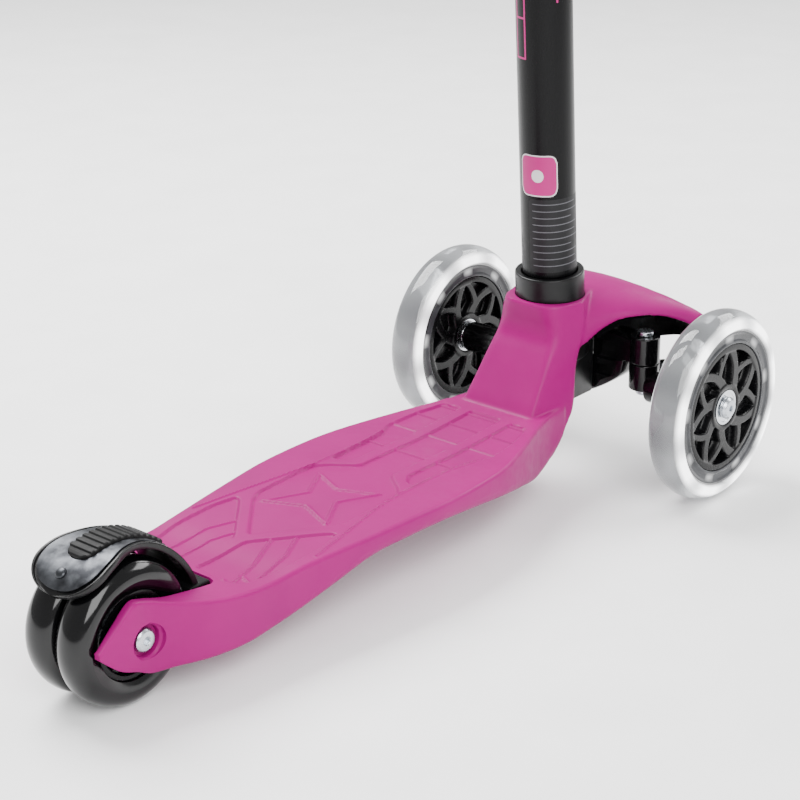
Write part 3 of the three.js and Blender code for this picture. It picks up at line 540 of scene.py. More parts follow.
# Low ribs: (points, half width, height above the panel floor)
STAR = [
    (0, 176), (23, 186), (10.5, 163), (24, 140), (0, 150), (-24, 140), (-10.5, 163), (-23, 186),
    (0, 176),
]
RIBS = [
    (STAR, 1.1, 1.0),
    ([(-18, 113), (-25, 96), (-25, 66)], 0.9, 0.9),
    ([(-8, 104), (-14, 87), (-13, 58)], 0.9, 0.9),
    ([(13, 108), (24, 84), (31, 58), (30, 44)], 0.9, 1.0),
    ([(23, 117), (32, 99), (37, 74)], 0.9, 1.0),
    ([(27, 70), (38, 66)], 0.9, 0.8),
    ([(24, 60), (33, 55)], 0.9, 0.8),
]
EDGE_RIDGE = [(47, 107), (41, 140), (36, 165), (33, 190), (32.5, 215), (33, 236), (36, 256)]


def distance_to_line(x, y, line, closed=False):
    """Shortest distance from each point to a row of straight segments."""
    line = np.asarray(line, float)
    ends = np.roll(line, -1, axis=0) if closed else line[1:]
    best = np.full(x.shape, np.inf)
    for (ax, ay), (bx, by) in zip(line, ends):
        dx, dy = bx - ax, by - ay
        t = np.clip(((x - ax) * dx + (y - ay) * dy) / (dx * dx + dy * dy), 0, 1)
        best = np.minimum(best, np.hypot(x - ax - t * dx, y - ay - t * dy))
    return best


def inside_distance(x, y, outline):
    """Distance to an outline, positive inside it and negative outside."""
    outline = np.asarray(outline, float)
    inside = np.zeros(x.shape, bool)
    for (ax, ay), (bx, by) in zip(outline, np.roll(outline, -1, axis=0)):
        if ay != by:
            crosses = (ay > y) != (by > y)
            inside ^= crosses & (x < (bx - ax) * (y - ay) / (by - ay) + ax)
    return np.where(inside, 1, -1) * distance_to_line(x, y, outline, closed=True)


def tread_height(x, y):
    """Height of the footboard's moulded tread: panels are sunk by PANEL_DEPTH with walls 1.2 mm
    wide, and ribs stand on their floors."""
    mirrored = [(-a, b) for a, b in MIDDLE_PANEL[::-1] if a > 0]
    middle = soften(MIDDLE_PANEL + mirrored, np.full(len(MIDDLE_PANEL) + len(mirrored), 3.0), 5)
    side_x = np.abs(x)
    depth = inside_distance(x, y, middle)
    for outline in (REAR_PANEL, SIDE_PANEL):
        curve = soften(outline, np.full(len(outline), 3.0), 5)
        depth = np.maximum(depth, inside_distance(side_x, y, curve))
    sunk = smooth_step(depth, -0.3, 1.2)
    height = -PANEL_DEPTH * sunk
    for line, half, rise in RIBS:
        gap = distance_to_line(x, y, line)
        ridge = rise * (1 - smooth_step(gap, half * 0.4, half * 1.5))
        height = np.maximum(height, ridge - PANEL_DEPTH)
    for rung in (241, 271, 291, 309):
        gap = np.abs(y - rung)
        rise = 0.9 * (1 - smooth_step(gap, 0.4, 1.3)) * sunk
        height = np.maximum(height, np.where(sunk > 0.02, -PANEL_DEPTH * sunk + rise, height))
    gap = distance_to_line(side_x, y, EDGE_RIDGE)
    height = height + 0.8 * (1 - smooth_step(gap, 0.2, 1.1))
    return height


def deck_rings(y, dense):
    """Sections of the footboard across y: softened six-cornered outlines whose top carries
    the tread and a shallow dish."""
    top, half, side, keel, keel_half = through(DECK, y).T
    side = np.minimum(side, top - 4)
    keel = np.minimum(keel, side)
    corners = np.stack(
        [
            np.stack([half, top], -1), np.stack([half + 0.4, side], -1),
            np.stack([keel_half, keel], -1), np.stack([-keel_half, keel], -1),
            np.stack([-half - 0.4, side], -1), np.stack([-half, top], -1),
        ],
        1,
    )
    edge = soften(corners, np.broadcast_to([2.6, 5.0, 3.0, 3.0, 5.0, 2.6], corners.shape[:2]), 8)
    right, left = edge[:, 0], edge[:, -1]
    f = np.linspace(0, 1, dense + 2)[1:-1][None, :, None]
    board = left[:, None] + (right - left)[:, None] * f
    flat = np.concatenate([board, edge], 1)
    x, z = flat[..., 0], flat[..., 1]
    yy = np.broadcast_to(y[:, None], x.shape)
    z = z.copy()
    z[:, :dense] += tread_height(x[:, :dense], yy[:, :dense])
    return np.stack([x, yy, z], -1)


def slot_cutter():
    """Wheel slot between the fork arms: its walls flare out near the top edge, which leaves a
    small chamfer, and its front end is rounded."""
    bend = np.linspace(0, np.pi / 2, 9)[1:]
    y = np.concatenate([np.linspace(-45, 49, 48), 55 - 6 * np.cos(bend)])
    half = 24.15 - 6 + np.sqrt(np.maximum(36 - np.maximum(y - 49, 0) ** 2, 0))
    half = np.maximum(half, 12)
    top = through(DECK, np.clip(y, -30, 60))[:, 0]
    chamfer = 1.3
    rows = [
        (half, np.full(y.shape, 0.0)), (half, top - chamfer),
        (half + chamfer + 0.4, top + 0.4), (half + chamfer + 0.4, np.full(y.shape, 90.0)),
    ]
    right = np.stack([np.stack([w, y, z], -1) for w, z in rows], 1)
    left = right[:, ::-1] * [-1, 1, 1]
    return loft("slot_cutter", np.concatenate([right, left], 1))


def footboard():
    """Loft of the deck sections, cut by the wheel slot, two bolt recesses and the cells below."""
    y = np.unique(
        np.concatenate([np.linspace(-30, 60, 74), np.linspace(60, 318, 350), [SEAM_Y]])
    )
    board = loft("footboard", deck_rings(y, 150))
    cut(board, slot_cutter())
    for side in (-1, 1):
        bore = turned(
            "recess", [(0, -4), (8.75, -4), (8.75, -0.9), (10, 0.4), (10, 6), (0, 6)],
            (side * 30.15, 0, REAR_RADIUS), (side, 0, 0), 64, 0.3,
        )
        cut(board, bore)
    pitch, start = 45.4, 66
    for row in range(5):
        y0, y1 = start + row * pitch + 2, start + (row + 1) * pitch - 2
        for side in (-1, 1):
            near, far = 2.5, 27
            x0, x1 = sorted((side * near, side * far))
            cut(board, block("cell", (x0, y0, 5), (x1, y1, 47), 3))
    return board


place(footboard(), pink_shell, "root", ["deck_shell"], 32)

# ------------------------------------------------------------------ neck and hood

COLUMN_FOOT = WHEELBASE - 25.5
COLUMN_LEAN = math.radians(3.86)
COLUMN_AXIS = np.array([0, -math.sin(COLUMN_LEAN), math.cos(COLUMN_LEAN)])
COLUMN_FOOT_POINT = (0, COLUMN_FOOT, 0)


def on_column(height):
    """Point on the steering column's axis at a distance along it from the ground."""
    return np.array([0, COLUMN_FOOT, 0]) + COLUMN_AXIS * height


# z, then y of the rear face and its half width, y of the front edge and its half width, y of
# the nose
NECK = [
    (22, 312, 26, 318, 29, 321), (26, 312, 26.5, 334, 31, 339),
    (33, 312, 27, 345, 31.5, 350), (40, 314, 27.2, 350.5, 31.5, 356),
    (45, 316, 27.2, 354.5, 31.2, 360), (50, 318.5, 27, 359, 31, 365),
    (58, 323, 26.8, 362, 30.5, 369), (70, 331.3, 25.3, 363, 30.2, 370),
    (83, 340.3, 23.8, 364.5, 30.2, 372), (90, 345.1, 22.7, 366, 30.3, 380),
    (97, 349.9, 21.6, 368.5, 30.3, 396), (104, 351.6, 20.8, 371, 29.6, 400),
    (112, 351.2, 20.3, 373.5, 28, 400), (119, 350.8, 19.5, 375, 26, 399),
]
# x, rear edge y and z, ridge y and z, nose y and low z: y from the front axle, z from the pivot
HOOD = [
    (0, -53, 25, 3, 44.5, 43, -1), (14, -50, 24, 3, 44, 43, -1), (24, -44, 21, 4, 43, 42, 0),
    (30, -39, 16, 6, 42, 41.5, 1), (34, -27, 23, 8, 41, 41, 2), (39, -16, 28, 10.5, 39.5, 40.5, 4),
    (45, -7, 29.3, 14, 37.8, 40, 6), (52, 4, 29, 18.5, 35.2, 39.5, 8),
    (58, 12.5, 27, 23, 32.6, 39, 9), (63, 19, 24, 28, 30, 39, 10), (70, 26, 19.5, 33, 26, 39, 11),
]


def neck_rings():
    """Level sections of the neck: a flat leaning rear face, side faces that spread forward to a
    crisp edge, and a blunt nose."""
    z = np.linspace(22, 119, 97)
    rear, flat, edge, half, nose = through(NECK, z).T
    corners = np.stack(
        [
            np.stack([flat, rear], -1), np.stack([half, edge], -1),
            np.stack([half - 11, nose], -1), np.stack([11 - half, nose], -1),
            np.stack([-half, edge], -1), np.stack([-flat, rear], -1),
        ],
        1,
    )
    soft = through([(22, 4), (58, 3), (90, 4), (112, 9), (119, 12)], z)
    crisp, blunt = np.full_like(soft, 1.2), np.full_like(soft, 5)
    radii = np.concatenate([soft, crisp, blunt, blunt, crisp, soft], 1)
    outline = soften(corners, radii, 10)
    height = np.broadcast_to(z[:, None, None], outline.shape[:2] + (1,))
    return np.concatenate([outline, height], -1)


def hood_curve(x, reach=1.0, steps=36):
    """Ribs of the hood: from the rear edge a quarter of a squarish oval up to the ridge, then
    another down to the nose."""
    back_y, back_z, ridge_y, ridge_z, nose_y, nose_z = through(HOOD, np.abs(x)).T[..., None]
    a = np.linspace(0, np.pi / 2, steps)[None]
    rise_y = ridge_y + (back_y - ridge_y) * np.cos(a) ** 1.25
    rise_z = back_z + (ridge_z - back_z) * np.sin(a)
    b = a[:, 1:]
    fall_y = ridge_y + (nose_y - ridge_y) * np.sin(b) ** 0.8
    fall_z = nose_z + (ridge_z - nose_z) * np.maximum(np.cos(b), 0) ** 0.8
    y = np.concatenate([rise_y, fall_y], 1) + WHEELBASE
    z = np.concatenate([rise_z, fall_z], 1) + PIVOT_Z
    return y, z


def hood_shell(name, outer, inner, tip, skirt=0.0):
    """Shell between two depths under the hood's outer face, each point moved along the face's
    own normal. A skirt runs straight down from the rear edge."""
    x = np.linspace(-tip, tip, 121)
    y, z = hood_curve(x)
    if skirt:
        drop = np.linspace(skirt, 1, 6)[None] * (1 - 0.6 * (x[:, None] / 62) ** 2)
        y = np.concatenate([y[:, :1] + 0 * drop, y], 1)
        z = np.concatenate([z[:, :1] - drop, z], 1)
    face = np.stack([np.broadcast_to(x[:, None], y.shape), y, z], -1)
    across = np.gradient(face, axis=0)
    along = np.gradient(face, axis=1)
    normal = np.cross(across, along)
    normal /= np.maximum(np.linalg.norm(normal, axis=-1, keepdims=True), 1e-9)
    if normal[60, 30, 2] < 0:
        normal = -normal
    top, under = face - normal * outer, face - normal * inner
    rings = np.concatenate([top, under[:, ::-1]], 1)
    rows, columns = rings.shape[:2]
    faces = grid_faces(rows, columns, wrap_columns=True).tolist()
    half = columns // 2
    for end in (0, (rows - 1) * columns):
        for i in range(half - 1):
            faces.append([end + i, end + i + 1, end + columns - 2 - i, end + columns - 1 - i])
    return raw_mesh(name, rings, faces)


def button_bore():
    """Stepped bore in which the latch button slides."""
    steps = [(0, 395), (4.6, 395), (4.6, 420), (7.6, 420), (7.6, 470), (0, 470)]
    return turned("bore", steps, BUTTON, AHEAD, 64, 0.1)


def neck_and_hood():
    """Front of the deck, neck and hood joined, remeshed and smoothed so that they flow, then
    bored for the socket and the button and cut off at the footboard's seam."""
    y = np.linspace(300, 352, 60)
    base = loft("neck_and_hood", deck_rings(y, 60))
    cut(base, loft("neck", neck_rings()), "UNION")
    cut(base, hood_shell("hood", 0, 3.0, 70), "UNION")
    grain = base.modifiers.new("skin", "REMESH")
    grain.mode = "VOXEL"
    grain.voxel_size = 1.0 * MM
    settle(base)
    smooth = base.modifiers.new("smooth", "SMOOTH")
    smooth.factor = 0.5
    smooth.iterations = 8
    settle(base)
    bore = turned(
        "bore", [(0, -45), (SOCKET_BORE, -45), (SOCKET_BORE, 30), (0, 30)],
        on_column(131), COLUMN_AXIS, 96, 0.2,
    )
    cut(base, bore)
    cut(base, button_bore())
    front = block("behind_seam", (-80, 250, 0), (80, SEAM_Y, 90), 0.01)
    cut(base, front)
    return base


place(neck_and_hood(), pink_shell, "root", (), 30)

def hood_liner():
    """Black shell under the hood; its rear edge hangs below the hood's as a band."""
    liner = hood_shell("liner", 3.3, 5.3, 62, 7.5)
    cut(liner, block("neck_room", (-31, 325, 20), (31, 402, 140), 0.1))
    bore = peg("bore", SOCKET_BORE, -60, 30, on_column(131), COLUMN_AXIS, 96, 0.1)
    cut(liner, bore)
    bore = peg("bore", 8.4, 415, 470, BUTTON, AHEAD, 64, 0.1)
    cut(liner, bore)
    for side in (-1, 1):
        room = peg("room", 9.5, 60, 103.5, (side * KINGPIN_X, WHEELBASE, 0), UPWARD, 64, 0.1)
        cut(liner, room)
    return liner


place(hood_liner(), black_gloss, "root", ["hood_liner"], 35)


def neck_core():
    """Black core that fills the front of the hollow neck: it carries the lean bolt and cups the
    steering socket."""
    core = block("neck_core", (-17, 352, 50), (17, 400.5, 86), 1.5)
    cup = peg("cup", 23.6, 80, 106, COLUMN_FOOT_POINT, COLUMN_AXIS, 96, 0.8)
    cut(core, cup, "UNION")
    socket = peg("bore", SOCKET_BORE, 85.9, 150, COLUMN_FOOT_POINT, COLUMN_AXIS, 96, 0.1)
    cut(core, socket)
    cut(core, button_bore())
    cut(core, peg("bore", 4.4, 340, 430, PIVOT, AHEAD, 64, 0.1))
    return core


place(neck_core(), black_satin, "root", [], 35)


# ------------------------------------------------------------------ turned parts


def body_of(node):
    """Body that a frame node belongs to."""
    return frame["nodes"][node]["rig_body"]


def add_turned_uv(thing, origin, axis):
    """UV map named turned: u is the share of a turn about the axis, v the radius in decimetres.
    Faces that cross the start of the turn keep u rising past one."""
    along, side, up = frame_of(axis)
    mesh = thing.data
    spots = np.zeros(len(mesh.vertices) * 3)
    mesh.vertices.foreach_get("co", spots)
    spots = spots.reshape(-1, 3) / MM - [0, REAR_AXLE, 0] - np.asarray(origin, float)
    corner = np.zeros(len(mesh.loops), int)
    mesh.loops.foreach_get("vertex_index", corner)
    sideways, upwards = spots @ side, spots @ up
    u = (np.arctan2(upwards, sideways) / (2 * np.pi) % 1.0)[corner]
    v = np.hypot(sideways, upwards)[corner] / 100
    starts = np.zeros(len(mesh.polygons), int)
    sizes = np.zeros(len(mesh.polygons), int)
    mesh.polygons.foreach_get("loop_start", starts)
    mesh.polygons.foreach_get("loop_total", sizes)
    greatest = np.repeat(np.maximum.reduceat(u, starts), sizes)
    u = np.where(greatest - u > 0.5, u + 1, u)
    layer = mesh.uv_layers.new(name="turned")
    layer.data.foreach_set("uv", np.stack([u, v], -1).ravel())


def screw(name, profile, apothem, depth, origin, axis, segments=96):
    """Turned screw whose head has a six-sided socket: the socket's rings have the radius of a
    hexagon at each angle, and the last ring closes at the socket's floor."""
    path = soften(profile, np.r_[0, np.full(len(profile) - 1, 0.35)], 5)[4:]
    path[0, 0] = 0
    rings = turned_points(path, origin, axis, segments)
    along, side, up = frame_of(axis)
    a = np.linspace(0, 2 * np.pi, segments, endpoint=False)
    hexagon = apothem / np.cos((a + np.pi / 6) % (np.pi / 3) - np.pi / 6)
    top = path[-1, 1]
    socket = []
    for grow, height in ((1.06, top), (1.0, top - 0.15), (1.0, top - depth), (0.0, top - depth)):
        ring = grow * hexagon[:, None] * (np.cos(a)[:, None] * side + np.sin(a)[:, None] * up)
        socket.append(np.asarray(origin, float) + along * height + ring)
    points = np.concatenate([rings, np.stack(socket)])
    return raw_mesh(name, points, grid_faces(len(points), segments, wrap_columns=True))


def tyre_outline(inner, outer, half):
    """Half-round crown on a flat bed: the radius is where the crown starts plus its rise times
    the cosine to the power 0.8, and the offset is the half width times the sine."""
    crown = outer - half * 0.9
    a = np.linspace(-np.pi / 2, np.pi / 2, 61)
    radius = np.maximum(crown + (outer - crown) * np.maximum(np.cos(a), 0) ** 0.8, inner + 1.5)
    ring = np.stack([radius, half * np.sin(a)], -1)
    return np.concatenate([[[inner, -half * 0.86]], ring, [[inner, half * 0.86]]])


def bearing_outline(low, high, bore=4.1, outer=11.0):
    """Ball bearing: outer race, sunk shield and inner race, the same on both faces."""
    sunk = 0.35
    return [
        (bore, low), (6.3, low), (6.5, low + sunk), (9.1, low + sunk), (9.3, low), (outer, low),
        (outer, high), (9.3, high), (9.1, high - sunk), (6.5, high - sunk),
         (6.3, high), (bore, high),
    ]


def wheel_core(name, origin, axis, sizes, windows, segments=360):
    """Wheel core: each face is a height over radius and angle. Curved spokes that fork halfway
    stand above deep windows between the boss and the rim; sizes are bore, boss, rim from,
    rim to, half width, window half depth and spoke half height; windows is their number."""
    bore, boss, rim_from, rim, half, floor_, spoke = sizes
    web = np.linspace(boss - 0.6, rim_from + 0.6, 46)
    radius = np.concatenate([[bore, bore + 0.5], web, [rim - 0.5, rim - 0.15, rim]])
    edge = np.array([0.4] + [0.0] * (len(radius) - 4) + [0.0, 0.12, 0.45])
    a = np.linspace(0, 2 * np.pi, segments, endpoint=False)
    r, t = radius[:, None], a[None]
    share = (r - boss) / (rim_from - boss)
    pitch = 2 * np.pi / windows

    def off_line(angle):
        """Distance along the circle to the nearest of the equal spokes that start at an angle."""
        return np.abs((t - angle + pitch / 2) % pitch - pitch / 2) * r

    main = off_line(0.55 * share)
    fork = off_line(0.18 - 0.62 * (share - 0.35)) + 30 * (share < 0.3)
    width = 4.0 + 1.6 * np.abs(share - 0.5)
    ridge = np.maximum(
        1 - smooth_step(main, width - 1.2, width + 0.9), 1 - smooth_step(fork, 2.6, 4.4)
    )
    open_ = smooth_step(r, boss, boss + 1.2) * (1 - smooth_step(r, rim_from - 1.2, rim_from))
    height = half - open_ * (half - floor_ - (spoke - floor_) * ridge)
    height = height - edge[:, None]
    along, side, up = frame_of(axis)
    ring = r[..., None] * (np.cos(t)[..., None] * side + np.sin(t)[..., None] * up)
    outside = np.asarray(origin, float) + ring + height[..., None] * along
    inside = np.asarray(origin, float) + ring - height[..., None] * along
    points = np.concatenate([outside, inside[::-1]])
    return raw_mesh(
        name, points, grid_faces(len(points), segments, wrap_rows=True, wrap_columns=True)
    )


# ------------------------------------------------------------------ front wheels


def front_wheel(name, side):
    """Clear tyre, light guide, core, two bearings and axle bolt of one front wheel."""
    centre = (side * TRACK_HALF, WHEELBASE, FRONT_RADIUS)
    axis = (side, 0, 0)
    wheel = f"front_wheel_{name}"

    outline = tyre_outline(48.7, FRONT_RADIUS, 12)
    tyre = turned(f"tyre_{name}", outline, centre, axis, 144, 0.15, 3)
    add_turned_uv(tyre, centre, axis)
    place(tyre, clear_urethane, wheel, [f"front_tyre_{name}"], 50)

    ring = [
        (40.5, -10.1), (42, -9.9), (43.2, -9.3), (46, -9.3), (47.2, -9.9), (48.4, -10.1),
        (48.4, 10.1), (47.2, 9.9), (46, 9.3), (43.2, 9.3), (42, 9.9), (40.5, 10.1),
    ]
    guide = turned(f"light_guide_{name}", ring, centre, axis, 144, 0.5, 4)
    add_turned_uv(guide, centre, axis)
    place(guide, light_core, wheel, [f"front_light_ring_{name}"], 50)

    core = wheel_core(
        f"wheel_core_{name}", centre, axis, (11.3, 14.5, 36.4, 40.2, 9.5, 4.0, 9.0), 7
    )
    place(core, hub_nylon, wheel, [f"front_hub_{name}"], 45)

    for end, from_, to in (("inner", -9.4, -2.4), ("outer", 2.4, 9.4)):
        outline = bearing_outline(from_, to)
        race = turned(f"bearing_{name}_{end}", outline, centre, axis, 72, 0.15, 3)
        place(race, bearing_steel, wheel, [f"front_bearing_{name}_{end}"])

    head = 9.8
    bolt = screw(
        f"axle_bolt_{name}",
        [(0, -34), (3.8, -34), (3.8, head), (6.8, head), (6.8, head + 1.3), (5.4, head + 3.0),
         (2.2, head + 3.4)],
        1.7, 1.6, centre, axis,
    )
    place(bolt, zinc, f"knuckle_{name}", [f"front_axle_bolt_{name}"])


front_wheel("left", -1)
front_wheel("right", 1)

# ------------------------------------------------------------------ rear wheel


def rear_wheel():
    """Two tyres on one core, with bearings, spacers, axle bolt and nut."""
    axle = np.array([0, 0, REAR_RADIUS])
    across = (1, 0, 0)
    for name, side in (("left", -1), ("right", 1)):
        middle = axle + [side * 11.75, 0, 0]
        outline = tyre_outline(24.5, REAR_RADIUS, 11)
        tyre = turned(f"rear_tyre_piece_{name}", outline, middle, across, 128, 0.15, 3)
        place(tyre, tyre_black, "rear_wheel", [f"rear_tyre_{name}"], 50)
        near, far = sorted((side * 12.95, side * 19.95))
        race = turned(f"rear_race_{name}", bearing_outline(near, far), axle, across, 72, 0.15, 3)
        place(race, bearing_steel, "rear_wheel", [f"rear_bearing_{name}"])
        near, far = sorted((side * 20.3, side * 23.8))
        outline = [(4.1, near), (6.5, near), (6.5, far), (4.1, far)]
        washer = turned(f"axle_spacer_{name}", outline, axle, across, 48, 0.3)
        place(washer, zinc, "root", [f"rear_spacer_{name}"])
    core = wheel_core("rear_core", axle, across, (11.3, 13.5, 21.6, 24.2, 20.2, 7, 18.0), 6, 240)
    place(core, hub_nylon, "rear_wheel", ["rear_hub"], 45)
    seat = 26.45
    bolt = screw(
        "axle_bolt_rear",
        [(0, -seat - 5), (3.8, -seat - 5), (3.8, seat), (6.5, seat), (6.5, seat + 2.2), (5.2, seat + 3.2),
         (2.4, seat + 3.5)],
        2.0, 1.8, axle, across,
    )
    place(bolt, zinc, "root", ["rear_axle_bolt"])
    a = np.linspace(0, 2 * np.pi, 96, endpoint=False)
    hexagon = 5.8 / np.cos((a + np.pi / 6) % (np.pi / 3) - np.pi / 6)
    rows = []
    for radius, place_ in ((4.1, 0.0), (1.0, 0.0), (1.0, 0.5), (1.0, 3.2), (0.93, 3.7), (4.1, 3.7)):
        shape = hexagon * radius if radius <= 1 else np.full(96, radius)
        if place_ in (0.0, 3.7) and radius <= 1:
            shape = np.minimum(shape, 6.0)
        ring = [np.full(96, -seat - place_), shape * np.cos(a), REAR_RADIUS + shape * np.sin(a)]
        rows.append(np.stack(ring, -1))
    nut = raw_mesh("axle_nut", np.stack(rows), grid_faces(6, 96, wrap_rows=True, wrap_columns=True))
    place(nut, zinc, "root", ["rear_axle_nut"])


rear_wheel()

# ------------------------------------------------------------------ foot brake

TAIL_END = 139.5
FENDER_OUT = 46.5
PLATE_IN, PLATE_OUT = 46.8, 48.0


def brake_half_width(angle):
    """Half width of the brake against the angle at the axle: narrow over the wheel, swelling to
    a broad tail that ends in a squarish oval."""
    half = through(
        [(7, 20.5), (25, 19), (45, 17), (60, 16), (75, 16), (90, 18.4), (104, 22.2), (116, 23.75), (140, 23.75)],
        angle,
    )[:, 0]
    share = np.clip((angle - 112) / (TAIL_END - 112), 0, 1)
    return half * (1 - share**2.4) ** (1 / 2.2)


def brake_rings(angle, outline):
    """Sections of the brake: outline gives (x, radius) rows for each angle."""
    a = np.radians(angle)[:, None]
    x, r = outline[..., 0], outline[..., 1]
    return np.stack([x, r * np.cos(a), REAR_RADIUS + r * np.sin(a)], -1)


def slab(half, inner, outer, radius):
    """Rounded rectangular sections, half wide and from inner to outer, for each angle."""
    half, inner, outer = np.broadcast_arrays(half, inner, outer)
    corners = np.stack(
        [np.stack([half, outer], -1), np.stack([half, inner], -1),
         np.stack([-half, inner], -1), np.stack([-half, outer], -1)], 1,
    )
    return soften(corners, np.full(4, radius), 6)


def spread(first, last, count):
    """Angles that crowd together at the last one, so that a rounded end stays smooth."""
    return first + (last - first) * np.sin(np.linspace(0, np.pi / 2, count))


def foot_brake():
    """Shell, steel plate, ribbed pad, rivet and hinge pin: softened outlines of half width and
    radius, carried round the axle."""
    angle = spread(7, TAIL_END - 0.02, 150)
    half = np.maximum(brake_half_width(angle), 0.3)
    lip = np.minimum(2.2, half * 0.4)
    out = np.full(angle.shape, FENDER_OUT)
    right = [
        (half, out - 2.5), (half + 0.25, out - 1), (half + 0.1, out + 0.9), (half - 0.5, out + 1.3),
        (half - lip + 0.3, out + 1.2), (half - lip, out + 0.2), (half * 0.5, out),
    ]
    left = [(-w, r) for w, r in right[::-1]]
    outline = np.stack([np.stack(p, -1) for p in right + left], 1)
    outline = soften(outline, np.full(outline.shape[1], 0.45), 4)
    fender = loft("brake_shell", brake_rings(angle, outline))
    eye = peg("eye", 4, -17, 17, BRAKE_HINGE, ACROSS, 48, 0.5)
    cut(fender, eye, "UNION")
    cut(fender, block("foot", (-22, 38.5, 45.2), (22, 53.0, 51.6), 1.2), "UNION")
    place(fender, brake_black, "brake", ["brake_fender"], 40)

    angle = spread(16, TAIL_END - 3.6, 150)
    share = np.clip((angle - 112) / (TAIL_END - 3.6 - 112), 0, 1)
    half = np.maximum(
        (brake_half_width(np.minimum(angle, 112)) - 2.9) * (1 - share**2.4) ** (1 / 2.2), 0.3
    )
    plate = loft("brake_cover", brake_rings(angle, slab(half, PLATE_IN, PLATE_OUT, 0.35)))
    angle = spread(43.2, 113.4, 90)
    share = np.clip((angle - 104) / (113.42 - 104), 0, 1)
    hole = loft("hole", brake_rings(angle, slab(9.1 * np.sqrt(1 - share**2) + 0.05, 44, 52, 0.3)))
    cut(plate, hole)
    place(plate, stainless, "brake", ["brake_plate"], 30)

    angle = spread(44, 112.8, 330)
    share = np.clip((angle - 104) / (112.9 - 104), 0, 1)
    half = 8.5 * np.sqrt(1 - share**2) + 0.05
    beat = np.cos((angle - 44) / 5.1 * 2 * np.pi)
    top = PLATE_OUT + 1.3 + 0.95 * smooth_step(beat, -0.55, 0.35) - 0.9 * share**2
    top = top - 1.2 * (1 - smooth_step(angle, 44, 50))
    pad = loft("foot_pad", brake_rings(angle, slab(half, PLATE_IN, top, 0.9)))
    place(pad, rubber, "brake", ["brake_pad"], 50)

    a = math.radians(125)
    normal = np.array([0, math.cos(a), math.sin(a)])
    seat = np.array([0, 0, REAR_RADIUS]) + normal * PLATE_OUT
    dome = [(0, -0.5), (3.2, -0.5), (3.2, 0.4), (2.6, 1.1), (1.4, 1.6), (0, 1.75)]
    rivet = turned("brake_rivet_head", dome, seat, normal, 48, 0.5)
    place(rivet, stainless, "brake", ["brake_rivet"])

    pin = peg("hinge_pin", 2, -28.6, 28.6, BRAKE_HINGE, ACROSS, 32, 0.4)
    place(pin, zinc, "root", ["brake_hinge_pin"])


foot_brake()

# ------------------------------------------------------------------ steering column


def lean_back(points):
    """Column coordinates (across, ahead of the axis, along the axis) to place."""
    points = np.asarray(points, float)
    ahead = np.cross(COLUMN_AXIS, [1, 0, 0])
    return (
        np.array([0, COLUMN_FOOT, 0])
        + points[..., :1] * np.array([1.0, 0, 0])
        + points[..., 1:2] * ahead
        + points[..., 2:] * COLUMN_AXIS
    )


def column_block(name, low, high, bevel):
    """Rounded box that stands on the leaning column."""
    (x0, y0, z0), (x1, y1, z1) = low, high
    outline = soften([[x0, y0], [x1, y0], [x1, y1], [x0, y1]], np.full(4, bevel), 6)
    rings = np.stack([np.c_[outline, np.full(len(outline), z)] for z in (z0, z1)])
    return loft(name, lean_back(rings))


def patch(name, from_s, to_s, from_angle, to_angle, radius, thickness, corner=2.0):
    """Printed foil on the tube: a rounded outline over height and angle, wrapped at a radius."""
    wide = math.radians(to_angle - from_angle) * radius
    tall = to_s - from_s
    outline = soften([[0, 0], [wide, 0], [wide, tall], [0, tall]], np.full(4, corner), 8)
    f = np.linspace(0, 1, 25)[:, None]
    columns = []
    left_edge = np.interp(f[:, 0] * wide, [0, corner, wide - corner, wide], [corner, 0, 0, corner])
    inset = corner - np.sqrt(np.maximum(corner**2 - left_edge**2, 0))
    for level in (radius, radius + thickness):
        angle = math.radians(from_angle) + f[:, 0] * wide / radius
        for edge in (inset, tall - inset):
            columns.append(np.stack(
                [level * np.sin(angle), -level * np.cos(angle), from_s + edge], -1))
    low_in, high_in, low_out, high_out = columns
    rings = np.stack([low_in, high_in, high_out, low_out], 1)
    return loft(name, lean_back(rings))


CLAMP_HEIGHT = 582.5
CLAMP_BOLT = lean_back([0, 27.3, CLAMP_HEIGHT])
LEVER_EYE = lean_back([17, 27.3, CLAMP_HEIGHT])
BAR_MIDDLE = lean_back([0, 0, 668])


